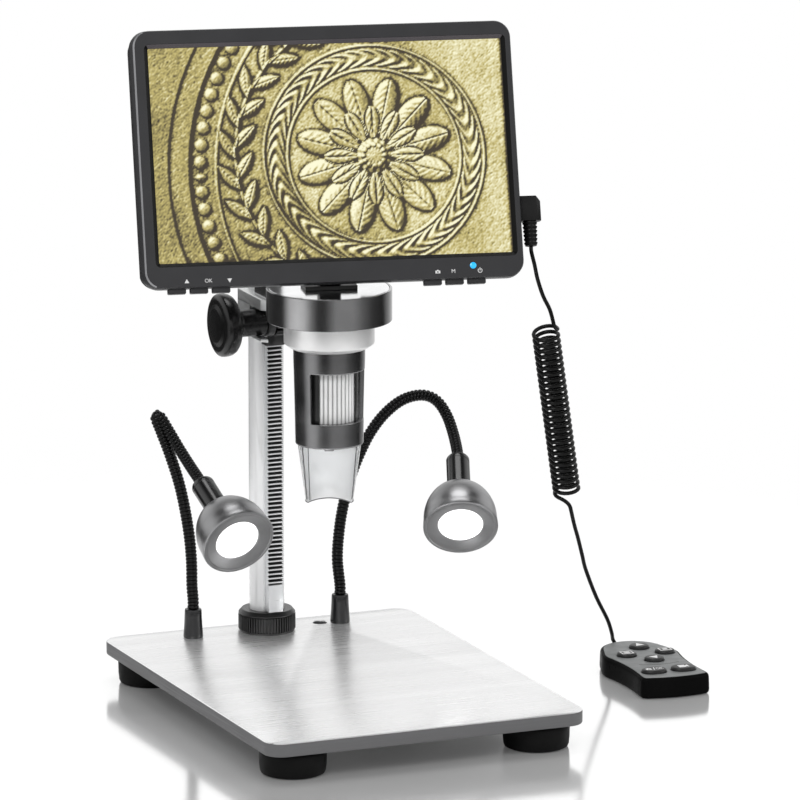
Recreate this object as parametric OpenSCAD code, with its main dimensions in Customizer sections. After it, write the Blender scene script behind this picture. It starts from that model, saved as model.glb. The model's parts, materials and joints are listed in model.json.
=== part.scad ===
// Digital microscope with a tilting screen on a rack-and-pinion stand, two gooseneck
// lamps and a wired hand remote.
// Millimetres. The origin is on the optical axis, on the stage's top face; the user
// stands at -Y and +Z is up.

/* [Stage] */
// Width of the stage plate
stage_w = 142; // [130:1:180]
// Depth of the stage plate
stage_d = 194; // [180:1:230]
// Thickness of the stage plate
stage_t = 6; // [5:0.5:9]
// Radius of the plate's corners
stage_corner_r = 8; // [3:0.5:12]
// From the optical axis back to the plate's rear edge
stage_back = 85; // [85:1:100]
// Diameter of a rubber foot
foot_d = 28; // [20:1:30]
// Height of a rubber foot
foot_h = 11; // [10:0.5:16]
// From the plate's edges in to the centre of a foot
foot_inset = 16.5; // [16:0.5:22]
// Diameter of the plain accessory hole beside the right lamp
accessory_hole_d = 6; // [3:0.5:8]

/* [Column] */
// From the optical axis back to the column's axis
column_reach = 71; // [70:0.5:72]
// Diameter of the column
column_d = 15; // [14:0.5:16]
// Height of the column above the stage
column_h = 190; // [180:1:200]
// From the column's axis forward to the flat that the rack sits on
rack_seat = 6.2; // [5.8:0.1:6.4]
// Width of the rack
rack_w = 6.6; // [5:0.1:7]
// Thickness of the rack, from its seat to the tips of its teeth
rack_t = 4.4; // [4:0.1:4.6]
// Plain length at the rack's lower end
rack_plain = 12; // [6:1:24]
// Diameter of the knurled collar
collar_d = 24.6; // [22:0.2:26]
// Height of the knurled collar
collar_h = 9.8; // [7:0.2:14]
// Number of ridges on the collar
collar_ridges = 60; // [40:2:80]

/* [Focus drive] */
// Gear module of the rack and the pinion
gear_module = 0.6; // [0.5:0.1:0.7]
// Number of teeth on the pinion
pinion_teeth = 20; // [19:1:21]
// Width of the pinion
pinion_w = 7; // [5:0.5:7.5]
// Diameter of the pinion's shaft
shaft_d = 5; // [4:0.2:6]
// From the underside of the holder ring down to the pinion's axis
pinion_drop = 11.2; // [11:0.1:11.6]
// Width of the carriage block
block_w = 23; // [22:0.5:26]
// Height of the carriage block
block_h = 18.5; // [18:0.5:24]
// Metal in front of the pinion's axis
block_nose = 9; // [8:0.5:12]
// Metal behind the column's axis
block_tail = 10.5; // [10:0.5:12]
// Diameter of the focus knob
knob_d = 27; // [22:0.5:30]
// Thickness of the focus knob
knob_t = 10.4; // [8:0.2:14]
// Diameter of the knob's hub
hub_d = 11.3; // [9:0.1:14]
// Length of the knob's hub
hub_l = 7.4; // [4:0.2:8]

/* [Camera head] */
// From the stage up to the rim of the clear hood
hood_gap = 74; // [70:0.5:80]
// Height of the clear hood
hood_h = 24.2; // [18:0.2:28]
// Diameter of the hood where it meets the barrel
hood_top_d = 27; // [25:0.2:27.4]
// Diameter of the hood's rim
hood_rim_d = 20; // [16:0.2:24]
// Wall of the clear hood
hood_wall = 1.2; // [0.8:0.1:1.8]
// Height of the arches in the hood's rim
hood_arch = 3.4; // [1:0.2:5]
// Diameter of the barrel at its lower end
barrel_low_d = 28; // [27.6:0.1:29]
// Diameter of the barrel at its upper end
barrel_top_d = 30.2; // [29:0.1:32]
// Height of the barrel below the lock nut
barrel_h = 41; // [40:0.5:46]
// Height of the window over the focus wheel
window_h = 21.5; // [14:0.5:22]
// Angle that the window opens over
window_angle = 116; // [60:2:130]
// Turn of the window from straight ahead
window_turn = 8; // [-20:1:20]
// Diameter of the focus wheel
wheel_d = 23; // [20:0.5:23.4]
// Number of ribs on the focus wheel
wheel_ribs = 36; // [24:2:48]
// Diameter of the lens cell
lens_cell_d = 12; // [10:0.2:12.6]
// Diameter of the lock nut
nut_d = 37.8; // [35:0.2:42]
// Height of the lock nut
nut_h = 11; // [8:0.5:14]
// Diameter of the holder ring
ring_d = 52.8; // [48:0.2:58]
// Height of the holder ring
ring_h = 13.6; // [12:0.2:16]
// Width of the arm from the ring to the carriage block
arm_w = 20; // [18:0.5:21]
// Thickness of the arm
arm_t = 7.3; // [5:0.1:9]

/* [Screen] */
// Width of the picture area of the 7 inch panel
active_w = 152.4; // [150:0.2:156]
// Height of the picture area
active_h = 91.4; // [86:0.2:93]
// Bezel at each side of the picture area
bezel_side = 4.3; // [4.2:0.1:8]
// Bezel above the picture area
bezel_top = 6.8; // [5:0.1:10]
// Bezel below the picture area
bezel_bottom = 10.6; // [10:0.1:11.4]
// Thickness of the front frame
frame_t = 5; // [4.8:0.1:5.4]
// Thickness of the whole screen
screen_t = 18; // [17.6:0.1:20]
// Corner radius of the screen
screen_corner_r = 7; // [4:0.5:10]
// Turn of the screen to the user's left, as it stands
screen_yaw = 13; // [0:1:20]
// Lean of the screen back from upright, as it stands
screen_lean = 20; // [15:1:25]
// From the top of the holder ring up to the tilt hinge's axis
hinge_rise = 12.6; // [12.6:0.1:16]
// From the tilt hinge's axis forward to the screen's face
hinge_depth = 12; // [11.8:0.1:12.6]
// Diameter of the hinge pin
hinge_pin_d = 3; // [2:0.2:3.4]
// Width of a button under the screen
screen_key_w = 7.6; // [5:0.2:8]
// Spacing of the buttons under the screen
screen_key_pitch = 9.3; // [8.6:0.1:10]

/* [Lamps] */
// From the optical axis's plane out to each lamp's root
lamp_offset = 34; // [30:0.5:40]
// Diameter of a gooseneck
goose_d = 5; // [4:0.2:6]
// Height of a lamp's rubber boot
boot_h = 12.5; // [10:0.5:16]
// Diameter of a boot where it meets the stage
boot_d = 8.4; // [7.4:0.1:10]
// Diameter of a lamp head
lamp_d = 32; // [28:0.5:33]
// Depth of the straight band round a lamp head's rim
lamp_band = 5; // [4:0.5:8]
// Diameter of the lit disc
lamp_disc_d = 19; // [14:0.5:20]
// Diameter of the neck between gooseneck and head
lamp_neck_d = 9.4; // [8:0.2:11]
// Length of that neck
lamp_neck_l = 23; // [16:0.5:24]

/* [Remote] */
// Length of the remote
remote_l = 67.4; // [64:0.2:74]
// Width of the remote at its round end
remote_w = 34.6; // [34:0.2:37]
// Height of the remote
remote_h = 9; // [8:0.2:12]
// Thickness of the remote's top cover
remote_cover_t = 1.4; // [1.2:0.1:2]
// Diameter of the four round buttons
remote_key_d = 8.4; // [6:0.1:8.6]
// Length of the two oval buttons
remote_key_l = 10.8; // [9:0.1:12]
// Diameter of the remote's cord
cord_d = 1.6; // [1.2:0.1:2]
// Outer diameter of the curly part of the cord
coil_d = 10.8; // [8:0.2:12]

/* [Fits] */
// Radial clearance of a sliding or turning fit
fit = 0.05; // [0.03:0.01:0.08]
// Clearance around a piece that is only located
loose = 0.1; // [0.08:0.01:0.12]
// Clearance around a piece that must never touch
clear = 0.3; // [0.25:0.05:0.4]

/* [Hidden] */
$fn = 64;
ARC = 32;

// Heights of the stack, from the table up
floor_z = -stage_t - foot_h;
barrel_z = hood_gap + hood_h;
nut_z = barrel_z + barrel_h;
ring_z = nut_z + nut_h;
ring_top = ring_z + ring_h;
block_z = ring_z - block_h;
pinion_z = ring_z - pinion_drop;
hinge_z = ring_top + hinge_rise;

// Places on the stage
stage_front = stage_d - stage_back;
foot_x = stage_w / 2 - foot_inset;
foot_rows = [-stage_front + foot_inset, stage_back - foot_inset];
foot_spots = [for (x = [-foot_x, foot_x], y = foot_rows) [x, y]];
boot_spigot_d = boot_d - 2;
accessory_x = lamp_offset - boot_d / 2 - accessory_hole_d / 2 - 1;
collar_seat = 0.5;
bolt_d = 6;
bolt_head = [10, 4];
bolt_gap = 1.5;
socket = [16, 13, 8.5];
socket_d = 6;
socket_depth = 9;

// Rack and pinion
tooth_pitch = PI * gear_module;
tooth_top = gear_module;
tooth_root = 1.25 * gear_module;
mesh_gap = 0.12;
pressure = 20;
pinion_r = gear_module * pinion_teeth / 2;
rack_tip_y = column_reach - rack_seat - rack_t;
pinion_y = rack_tip_y + tooth_top - pinion_r - mesh_gap;
rack_z = collar_h + loose;
rack_top = column_h - 6;
rack_screw_z = [rack_z + 5, rack_top - 5];
rack_screw_d = 2.5;
rack_head_d = 4.2;
rack_head_h = 1.3;
rack_head_seat = 1.6;
bolt_top = rack_screw_z[0] - rack_screw_d / 2 - bolt_gap;

// Carriage
block_front = pinion_y - block_nose;
block_back = column_reach + block_tail;
block_face = block_w / 2;
arm_back = rack_tip_y - 1.5;
arm_screw_x = 6.6;
arm_screw_y = block_front + 4.6;
arm_screw_l = 7;
screw_d = 3;
screw_head_d = 5.5;
screw_head_h = 3;

// Inside the barrel
window_z = barrel_z + 9.6;
chamber_z = window_z - 1;
chamber_top = window_z + window_h + 1;
cap_t = 1.5;
cap_rim = 1;
spigot_l = 4.4;
led_board_t = 1.6;
led_floor = barrel_z + spigot_l + led_board_t;
bore_r = lens_cell_d / 2 + loose;
lens_low = barrel_z + 1.4;
sensor_room_z = chamber_top + 12;
neck_pivot_d = 10;
neck_foot = [22, 13.4, 1.8];
neck_depth = 6.8;
sensor_w = 7;
lens_curve = 14.2;

// The screen's own frame: x to its right, y into it, z up it, from the hinge's axis
face_y = -hinge_depth;
frame_back = face_y + frame_t;
rear_y = face_y + screen_t;
bottom_gap = 0.3;
screen_bottom = -hinge_rise + bottom_gap;
screen_top = screen_bottom + bezel_bottom + active_h + bezel_top;
active_low = screen_bottom + bezel_bottom;
active_top = active_low + active_h;
screen_half = active_w / 2 + bezel_side;
housing_inset = 0.8;
housing_wall = 1.8;
panel_t = 3;
panel_border = 1.8;
recess_half = 12.5;
recess_top = 8;
knuckle_d = 8;
knuckle_half = 4.5;
lug_w = 4;
key_drop = 2;
key_y = face_y + 2.4;
key_depth = 3.4;
key_rise = 3.4;
key_travel = 0.8;
key_left_x = -66.1;
key_right_x = 41.8;
led_x = 58.7;
led_z = active_low - 5.3;
led_d = 3.2;
plug_z = 17.4;
plug_body = [9.8, 7, 10.4];
plug_y = -2;
plug_x = screen_half;
plug_tail_x = plug_x + 5.1;
plug_tail_l = 10.5;
plug_tail_d = 6.2;
cord_seat = 2;
plug_pin_d = 3.5;

// The remote on the table
remote_at = [142, -41, floor_z];
remote_turn = -3;
remote_bulge = 3.4;
remote_end = remote_l - remote_bulge;
cord_end = [remote_at[0] + remote_end * sin(-remote_turn),
            remote_at[1] + remote_end * cos(remote_turn), floor_z + remote_h / 2];

// Cord routes, in the row's frame, and the curly part between them
plug_end_z = plug_z - plug_body[2] / 2 - plug_tail_l;
plug_exit = on_screen([plug_tail_x, plug_y, plug_end_z]);
coil_top = [92.8, -14, 140];
coil_bottom = [110.2, 2, 63.2];
coil_entry = [4, -0.4, 0];
cord_top_path = [
    on_screen([plug_tail_x, plug_y, plug_end_z + cord_seat - 0.5]), plug_exit,
    on_screen([plug_tail_x, plug_y, plug_end_z - 2.4]), [84.4, -21.4, 170.6], [86.6, -19.6, 164],
    [90, -17.4, 156], [94.2, -15.8, 149], [96.4, -14.8, 144.6],
    coil_top + coil_entry + [0, 0, 1.2]
];
cord_tail_path = [
    coil_bottom + [0.4, 0.6, -0.9], [110.9, 2.8, 60], [114.4, 4.6, 51], [119, 7.4, 40],
    [124, 10.4, 28], [130.6, 14, 14.4], [137.4, 19.4, 3], [141.6, 23.6, -4.6], [144.4, 26.4, -9.8],
    [145.4, 25.8, -12.2], cord_end + [0, 0.4, 0]
];

// Gooseneck routes, from the top of each boot to the lamp's neck
goose_root_z = boot_h - 4;
left_neck = [-39.2, 50, 74.2];
right_neck = [80, 50, 75];
left_aim = [0.05, -0.9, -0.43];
right_aim = [-0.3, -0.78, -0.55];
lamp_face = lamp_neck_l + lamp_d / 2 + lamp_band;
left_path = [
    [-lamp_offset, column_reach, goose_root_z], [-lamp_offset, column_reach, boot_h],
    [-lamp_offset, column_reach, boot_h + 4],
    [-34.5, 71, 22.8], [-34.7, 71, 34.2], [-36, 71.2, 48], [-39.2, 71.8, 65.6],
    [-43.4, 72.6, 80], [-47.2, 73.2, 90.6], [-49.6, 73.4, 97.2], [-47.8, 73, 97.4],
    [-44.7, 70.8, 91.4], [-42, 65.5, 84.4], [-40.2, 58.6, 78.8], left_neck - 0.4 * unit(left_aim)
];
right_path = [
    [lamp_offset, column_reach, goose_root_z], [lamp_offset, column_reach, boot_h],
    [lamp_offset, column_reach, boot_h + 4], [32.8, 71, 28], [33.6, 71, 39.8],
    [35.5, 71, 51.1], [39.1, 71.5, 63], [43.4, 72, 72.7],
    [48.9, 72.6, 82], [56, 73.4, 89.6], [64.6, 74.2, 94.8], [73.4, 74, 96.2], [79.4, 72, 93.8],
    [82.4, 67.5, 88], [82.4, 60, 81], right_neck - 0.4 * unit(right_aim)
];

function unit(v) = v / norm(v);
function arc(c, r, a, b, n = 8) =
    [for (i = [0:n]) c + r * [cos(a + (b - a) * i / n), sin(a + (b - a) * i / n)]];
function turned(p, a) = [p[0] * cos(a) - p[1] * sin(a), p[0] * sin(a) + p[1] * cos(a)];

// A point of the screen's frame in the row's frame
function on_screen(p) =
    let (y = p[1] * cos(screen_lean) + p[2] * sin(screen_lean),
         z = -p[1] * sin(screen_lean) + p[2] * cos(screen_lean),
         q = turned([p[0], y], -screen_yaw))
    [q[0], q[1], hinge_z + z];

// A smooth line through points, steps pieces to each stretch
function blend_point(a, b, c, d, t) =
    0.5 * (2 * b + (c - a) * t + (2 * a - 5 * b + 4 * c - d) * t * t
           + (3 * b - a - 3 * c + d) * t * t * t);
function smooth(p, steps) =
    let (n = len(p))
    concat([for (i = [0:n - 2], s = [0:steps - 1])
                blend_point(p[max(i - 1, 0)], p[i], p[i + 1], p[min(i + 2, n - 1)], s / steps)],
           [p[n - 1]]);
function heading(p, i) = unit(p[min(i + 1, len(p) - 1)] - p[max(i - 1, 0)]);

// A round tube of diameter d along the line p; side is never parallel to the line
module sweep(p, d, side, sides = 8) {
    n = len(p);
    ring = [for (i = [0:n - 1])
        let (t = heading(p, i), u = unit(cross(t, side)), v = cross(t, u))
        for (k = [0:sides - 1])
            p[i] + d / 2 * (cos(360 * k / sides) * u + sin(360 * k / sides) * v)];
    walls = [for (i = [0:n - 2], k = [0:sides - 1])
        [i * sides + k, i * sides + (k + 1) % sides,
         (i + 1) * sides + (k + 1) % sides, (i + 1) * sides + k]];
    polyhedron(ring, concat([[for (k = [sides - 1:-1:0]) k]], walls,
                            [[for (k = [0:sides - 1]) (n - 1) * sides + k]]));
}

// Turns children that point down -Z so that they point along v
module aim(v) {
    rotate([0, 180 - acos(unit(v)[2]), atan2(-v[1], -v[0])]) children();
}

module on_screen_frame() {
    translate([0, 0, hinge_z]) rotate([0, 0, -screen_yaw]) rotate([-screen_lean, 0, 0])
        children();
}

module rounded_outline(w, d, r) {
    square([w - 2 * r, d], center = true);
    square([w, d - 2 * r], center = true);
    for (x = [-1, 1], y = [-1, 1]) translate([x * (w / 2 - r), y * (d / 2 - r)]) circle(r);
}

module tube_along_x(d, x0, x1) {
    translate([x0, 0, 0]) rotate([0, 90, 0]) cylinder(d = d, h = x1 - x0);
}

// ---------------------------------------------------------------- stand

module stage_plate() {
    color("silver")
    difference() {
        translate([0, stage_back - stage_d / 2, -stage_t])
            linear_extrude(stage_t) rounded_outline(stage_w, stage_d, stage_corner_r);
        translate([0, column_reach, -collar_seat]) cylinder(d = collar_d + 2 * loose, h = 1);
        translate([0, column_reach, -stage_t - 1]) cylinder(d = bolt_d + 2 * loose, h = stage_t + 2);
        for (x = [-lamp_offset, lamp_offset]) translate([x, column_reach, 0]) {
            translate([0, 0, -collar_seat]) cylinder(d = boot_d + 2 * loose, h = 1);
            translate([0, 0, -stage_t - 1])
                cylinder(d = boot_spigot_d + 2 * loose, h = stage_t + 2);
        }
        translate([accessory_x, column_reach + 3, -stage_t - 1])
            cylinder(d = accessory_hole_d, h = stage_t + 2);
        for (p = foot_spots) translate([p[0], p[1], -stage_t - 1])
            cylinder(d = screw_d, h = stage_t - 1.5 + 1);
    }
}

module feet() {
    color("black")
    for (p = foot_spots) translate([p[0], p[1], floor_z]) difference() {
        union() {
            cylinder(d1 = foot_d - 2, d2 = foot_d, h = 1);
            translate([0, 0, 1]) cylinder(d = foot_d, h = foot_h - 1);
        }
        translate([0, 0, -1]) cylinder(d = screw_head_d + 2, h = foot_h - 3.5);
        cylinder(d = screw_d + 2 * loose, h = foot_h + 1);
    }
}

// Four foot screws and the bolt that draws the column down
module base_screws() {
    color("dimgray") {
        for (p = foot_spots) translate([p[0], p[1], floor_z + foot_h - 4.5]) {
            translate([0, 0, -screw_head_h + 0.6]) cylinder(d = screw_head_d, h = screw_head_h - 0.6);
            cylinder(d = screw_d - 2 * fit, h = 4.5 + stage_t - 2.5);
        }
        translate([0, column_reach, -stage_t]) {
            translate([0, 0, -bolt_head[1]]) cylinder(d = bolt_head[0], h = bolt_head[1]);
            cylinder(d = bolt_d - 2 * fit, h = stage_t + bolt_top);
        }
    }
}

// A round bar with a flat for the rack down its front
module column_outline(grow = 0) {
    difference() {
        circle(d = column_d + 2 * grow);
        translate([-column_d, -column_d - rack_seat - grow]) square([2 * column_d, column_d]);
    }
}

module column() {
    color("gainsboro")
    translate([0, column_reach, 0]) difference() {
        translate([0, 0, -collar_seat]) linear_extrude(column_h + collar_seat) column_outline();
        translate([0, 0, -1]) cylinder(d = bolt_d, h = 1 + bolt_top + 0.4);
        for (z = rack_screw_z) translate([0, 0, z]) rotate([90, 0, 0])
            cylinder(d = rack_screw_d, h = column_d);
    }
}

module column_cap() {
    color("black")
    translate([0, column_reach, column_h]) {
        cylinder(d = column_d, h = 1.6);
        translate([0, 0, 1.6]) cylinder(d1 = column_d, d2 = column_d - 2.4, h = 1.2);
    }
}

// Clamps the foot of the column; ridges all round, and a bevelled top
module column_collar() {
    ridge = 0.35;
    color("dimgray")
    translate([0, column_reach, -collar_seat]) difference() {
        union() {
            linear_extrude(collar_h + collar_seat - 1.6)
                polygon([for (i = [0:4 * collar_ridges - 1])
                    let (a = 90 * i / collar_ridges, r = collar_d / 2 - (i % 4 < 2 ? 0 : ridge))
                    r * [cos(a), sin(a)]]);
            translate([0, 0, collar_h + collar_seat - 1.6])
                cylinder(d1 = collar_d - 2 * ridge, d2 = collar_d - 2 * ridge - 2.4, h = 1.6);
        }
        translate([0, 0, -1]) cylinder(d = column_d + 2 * loose, h = collar_h + 4);
    }
}

// Straight-flanked teeth; a gap stands level with the pinion's axis
function rack_edge(z0, z1) =
    let (half_tip = tooth_pitch / 4 - tooth_top * tan(pressure),
         half_root = tooth_pitch / 4 + tooth_root * tan(pressure),
         first = ceil((z0 + rack_plain - pinion_z) / tooth_pitch),
         last = floor((z1 - 1 - pinion_z) / tooth_pitch) - 1)
    [for (i = [first:last])
        let (z = pinion_z + (i + 0.5) * tooth_pitch)
        each [[-tooth_top - tooth_root, z - half_root], [0, z - half_tip],
              [0, z + half_tip], [-tooth_top - tooth_root, z + half_root]]];

module rack() {
    edge = rack_edge(rack_z, rack_top);
    low = edge[0][1];
    high = edge[len(edge) - 1][1];
    color("gray")
    difference() {
        translate([rack_w / 2, rack_tip_y, 0]) rotate([90, 0, -90]) linear_extrude(rack_w)
            polygon(concat([[-rack_t, rack_z], [0, rack_z], [0, low - 1], [edge[0][0], low - 1]],
                           edge,
                           [[edge[0][0], high + 0.6], [0, high + 0.6], [0, rack_top],
                            [-rack_t, rack_top]]));
        for (z = rack_screw_z) translate([0, rack_tip_y - 1, z]) rotate([-90, 0, 0]) {
            cylinder(d = rack_screw_d + 2 * loose, h = rack_t + 2);
            cylinder(d = rack_head_d + 4 * loose, h = rack_head_seat + 1);
        }
    }
}

module rack_screws() {
    color("dimgray")
    for (z = rack_screw_z) translate([0, rack_tip_y + rack_head_seat, z]) rotate([-90, 0, 0]) {
        translate([0, 0, -rack_head_h]) cylinder(d = rack_head_d, h = rack_head_h);
        cylinder(d = rack_screw_d - 2 * fit, h = rack_t - rack_head_seat + 5);
    }
}

// Power inlet of the lamps, screwed under the back of the stage beside a foot
module lamp_socket() {
    color("black")
    translate([-(foot_x - foot_d / 2 - 0.5), stage_back - socket[1], -stage_t - socket[2]]) difference() {
        cube(socket);
        translate([socket[0] / 2, socket[1] - socket_depth, socket[2] / 2]) rotate([-90, 0, 0])
            cylinder(d = socket_d, h = socket_depth + 1);
    }
}

module gooseneck_boots() {
    color("black")
    for (x = [-lamp_offset, lamp_offset]) translate([x, column_reach, 0]) difference() {
        union() {
            translate([0, 0, -stage_t]) cylinder(d = boot_spigot_d, h = stage_t + 1);
            translate([0, 0, -collar_seat]) cylinder(d = boot_d, h = collar_seat + 0.01);
            cylinder(d1 = boot_d, d2 = boot_d - 1.2, h = boot_h);
        }
        translate([0, 0, goose_root_z]) cylinder(d = goose_d + 2 * loose, h = boot_h);
    }
}

// ---------------------------------------------------------------- carriage

module block_outline() {
    front = 2.4;
    back = 7;
    polygon([[-block_face + front, block_front], [block_face - front, block_front],
             [block_face, block_front + front], [block_face, block_back - back],
             [block_face - back, block_back], [-block_face + back, block_back],
             [-block_face, block_back - back], [-block_face, block_front + front]]);
}

module carriage_block() {
    slot_half = pinion_w / 2 + clear;
    color("lightgray")
    difference() {
        translate([0, 0, block_z]) linear_extrude(block_h) block_outline();
        translate([0, column_reach, block_z - 1]) cylinder(d = column_d + 2 * fit, h = block_h + 2);
        translate([-rack_w / 2 - clear, rack_tip_y - clear, block_z - 1])
            cube([rack_w + 2 * clear, column_reach - rack_tip_y, block_h + 2]);
        translate([-slot_half, block_front - 1, block_z - 1])
            cube([2 * slot_half, rack_tip_y - block_front + 2,
                  pinion_z + pinion_r + tooth_top + 0.6 - block_z + 1]);
        translate([0, pinion_y, pinion_z]) tube_along_x(shaft_d + 2 * fit, -block_w, block_w);
        for (x = [-arm_screw_x, arm_screw_x]) translate([x, arm_screw_y, ring_z - arm_screw_l])
            cylinder(d = screw_d, h = arm_screw_l + 1);
        translate([0, column_reach, block_z + block_h / 2]) rotate([-90, 0, 0])
            cylinder(d = 4, h = block_tail + 1);
    }
}

// The ring and its arm, which lies on the carriage block
module holder_ring() {
    color("dimgray")
    difference() {
        union() {
            translate([0, 0, ring_z]) cylinder(d = ring_d, h = ring_h);
            translate([-arm_w / 2, ring_d / 4, ring_z]) cube([arm_w, arm_back - ring_d / 4, arm_t]);
        }
        translate([0, 0, ring_z - 1]) cylinder(d = barrel_top_d + 2 * loose, h = ring_h + 2);
        translate([0, 0, ring_top - cap_t]) cylinder(d = ring_d - 2 * cap_rim, h = cap_t + 1);
        for (x = [-arm_screw_x, arm_screw_x]) translate([x, arm_screw_y, ring_z - 1])
            cylinder(d = screw_d + 2 * loose, h = arm_t + 2);
    }
}

module arm_screws() {
    color("black")
    for (x = [-arm_screw_x, arm_screw_x]) translate([x, arm_screw_y, ring_z + arm_t]) difference() {
        union() {
            cylinder(d = screw_head_d, h = screw_head_h);
            translate([0, 0, -arm_t - arm_screw_l + 0.5])
                cylinder(d = screw_d - 2 * fit, h = arm_t + arm_screw_l);
        }
        translate([0, 0, screw_head_h - 1.4]) cylinder(d = 2.9, h = 2, $fn = 6);
    }
}

// Presses a pad on the back of the column to set how stiffly the carriage slides
module brake_screw() {
    color("black")
    translate([0, block_back, block_z + block_h / 2]) rotate([90, 0, 0]) difference() {
        union() {
            translate([0, 0, -3.2]) cylinder(d = 7, h = 3.2);
            cylinder(d = 4 - 2 * fit, h = block_tail - column_d / 2 - clear);
        }
        translate([0, 0, -3.3]) cylinder(d = 3, h = 1.8, $fn = 6);
    }
}

// Bright disc that closes the ring around the screen's pivot
module head_cap() {
    color("whitesmoke")
    translate([0, 0, ring_top - cap_t]) difference() {
        cylinder(d = ring_d - 2 * cap_rim - 2 * loose, h = cap_t);
        translate([0, 0, -1]) cylinder(d = neck_pivot_d + 2 * fit, h = cap_t + 2);
    }
}

module window_cut() {
    far = barrel_top_d;
    half = window_angle / 2;
    rotate([0, 0, -90 + window_turn]) translate([0, 0, window_z]) linear_extrude(window_h)
        polygon(concat([[0, 0]], [for (a = [-half, -half / 2, 0, half / 2, half]) far * [cos(a), sin(a)]]));
}

module barrel() {
    color("dimgray")
    difference() {
        union() {
            translate([0, 0, barrel_z]) cylinder(d1 = barrel_low_d, d2 = barrel_top_d, h = barrel_h);
            translate([0, 0, nut_z]) cylinder(d = barrel_top_d, h = nut_h + ring_h - cap_t);
        }
        translate([0, 0, barrel_z - 1])
            cylinder(d = hood_top_d - 1.7 + 2 * fit, h = led_floor - barrel_z + 1);
        translate([0, 0, barrel_z]) cylinder(r = bore_r, h = sensor_room_z - barrel_z + 1);
        translate([0, 0, chamber_z]) cylinder(d = wheel_d + 2 * clear, h = chamber_top - chamber_z);
        translate([0, 0, sensor_room_z])
            cylinder(d = 22, h = ring_top - cap_t - 3 - sensor_room_z);
        translate([0, 0, ring_top - 8]) cylinder(d = neck_pivot_d + 2 * fit, h = 9);
        window_cut();
    }
}

module lock_nut() {
    edge = 0.8;
    color("silver")
    translate([0, 0, nut_z]) difference() {
        union() {
            cylinder(d1 = nut_d - 2 * edge, d2 = nut_d, h = edge);
            translate([0, 0, edge]) cylinder(d = nut_d, h = nut_h - edge);
        }
        translate([0, 0, -1]) cylinder(d = barrel_top_d + 2 * loose, h = nut_h + 2);
    }
}

module clear_hood() {
    arch_r = (pow(hood_rim_d / 2 - 1, 2) + hood_arch * hood_arch) / (2 * hood_arch);
    spigot_d = hood_top_d - 1.7;
    color("lightcyan", 0.4)
    translate([0, 0, hood_gap]) difference() {
        union() {
            cylinder(d1 = hood_rim_d, d2 = hood_top_d, h = hood_h);
            translate([0, 0, hood_h]) cylinder(d = spigot_d, h = spigot_l);
        }
        translate([0, 0, -0.01])
            cylinder(d1 = hood_rim_d - 2 * hood_wall, d2 = spigot_d - 2 * hood_wall, h = hood_h + 0.02);
        translate([0, 0, hood_h]) cylinder(d = spigot_d - 2 * hood_wall, h = spigot_l + 1);
        translate([0, 0, hood_arch - arch_r]) rotate([90, 0, 0])
            cylinder(r = arch_r, h = hood_rim_d + 2, center = true);
    }
}

module led_board() {
    leds = 8;
    color("seagreen")
    translate([0, 0, led_floor - led_board_t]) difference() {
        cylinder(d = hood_top_d - 1.7, h = led_board_t);
        translate([0, 0, -1]) cylinder(r = bore_r + 0.4, h = led_board_t + 2);
    }
    color("white")
    for (i = [0:leds - 1]) rotate([0, 0, 360 * i / leds + 22.5])
        translate([9, 0, led_floor - led_board_t - 1]) cylinder(d = 3, h = 1.1);
}

// The image sensor looks down the bore from its own small board
module sensor_board() {
    color("seagreen") translate([0, 0, sensor_room_z + 3]) cylinder(d = 21.8, h = 1.6);
    color("black") translate([-sensor_w / 2, -sensor_w / 2, sensor_room_z + 1.6])
        cube([sensor_w, sensor_w, 1.4]);
}

// ---------------------------------------------------------------- focus drive

knob_profile = [
    [0, 1.8], [6.4, 1.8], [8.6, 1.2], [knob_d / 2 - 2.6, 0.3], [knob_d / 2 - 1.6, 0],
    each arc([knob_d / 2 - 1.8, 1.8], 1.8, -80, 0, 5),
    [knob_d / 2, knob_t * 0.55],
    each arc([knob_d / 2 - 4.6, knob_t * 0.55], 4.6, 12, 84, 6),
    [hub_d / 2 + 1.4, knob_t], [hub_d / 2, knob_t + 0.4], [hub_d / 2, knob_t + hub_l], [0, knob_t + hub_l]
];

// A dished black disc with its hub, on the left end of the pinion's shaft
module focus_knob() {
    color("black")
    translate([-block_face - loose - hub_l - knob_t, pinion_y, pinion_z]) rotate([0, 90, 0])
    difference() {
        rotate_extrude() polygon(knob_profile);
        translate([0, 0, knob_t - 3]) cylinder(d = shaft_d + 2 * fit, h = hub_l + 4);
    }
}

function involute(r, base) = let (a = acos(min(1, base / r))) tan(a) * 180 / PI - a;
pinion_outline = let (
        base = pinion_r * cos(pressure),
        root = pinion_r - tooth_root,
        tip = pinion_r + tooth_top,
        half = 90 / pinion_teeth - 0.25 + involute(pinion_r, base),
        radii = [root, base, base + 0.3 * (tip - base), base + 0.65 * (tip - base), tip]
    ) [for (i = [0:pinion_teeth - 1], side = [-1, 1], k = [0:4])
        let (r = radii[side < 0 ? k : 4 - k],
             a = 360 * i / pinion_teeth + side * (half - involute(max(r, base), base)))
        r * [cos(a), sin(a)]];

module pinion_shaft() {
    reach = block_face + loose + hub_l + 3;
    color("dimgray")
    translate([0, pinion_y, pinion_z]) {
        rotate([90, 0, 90]) translate([0, 0, -pinion_w / 2]) linear_extrude(pinion_w)
            polygon(pinion_outline);
        tube_along_x(shaft_d, -reach, block_face + 1);
        tube_along_x(shaft_d + 3, block_face + loose, block_face + 1.4);
    }
}

// ---------------------------------------------------------------- lens focus

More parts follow.
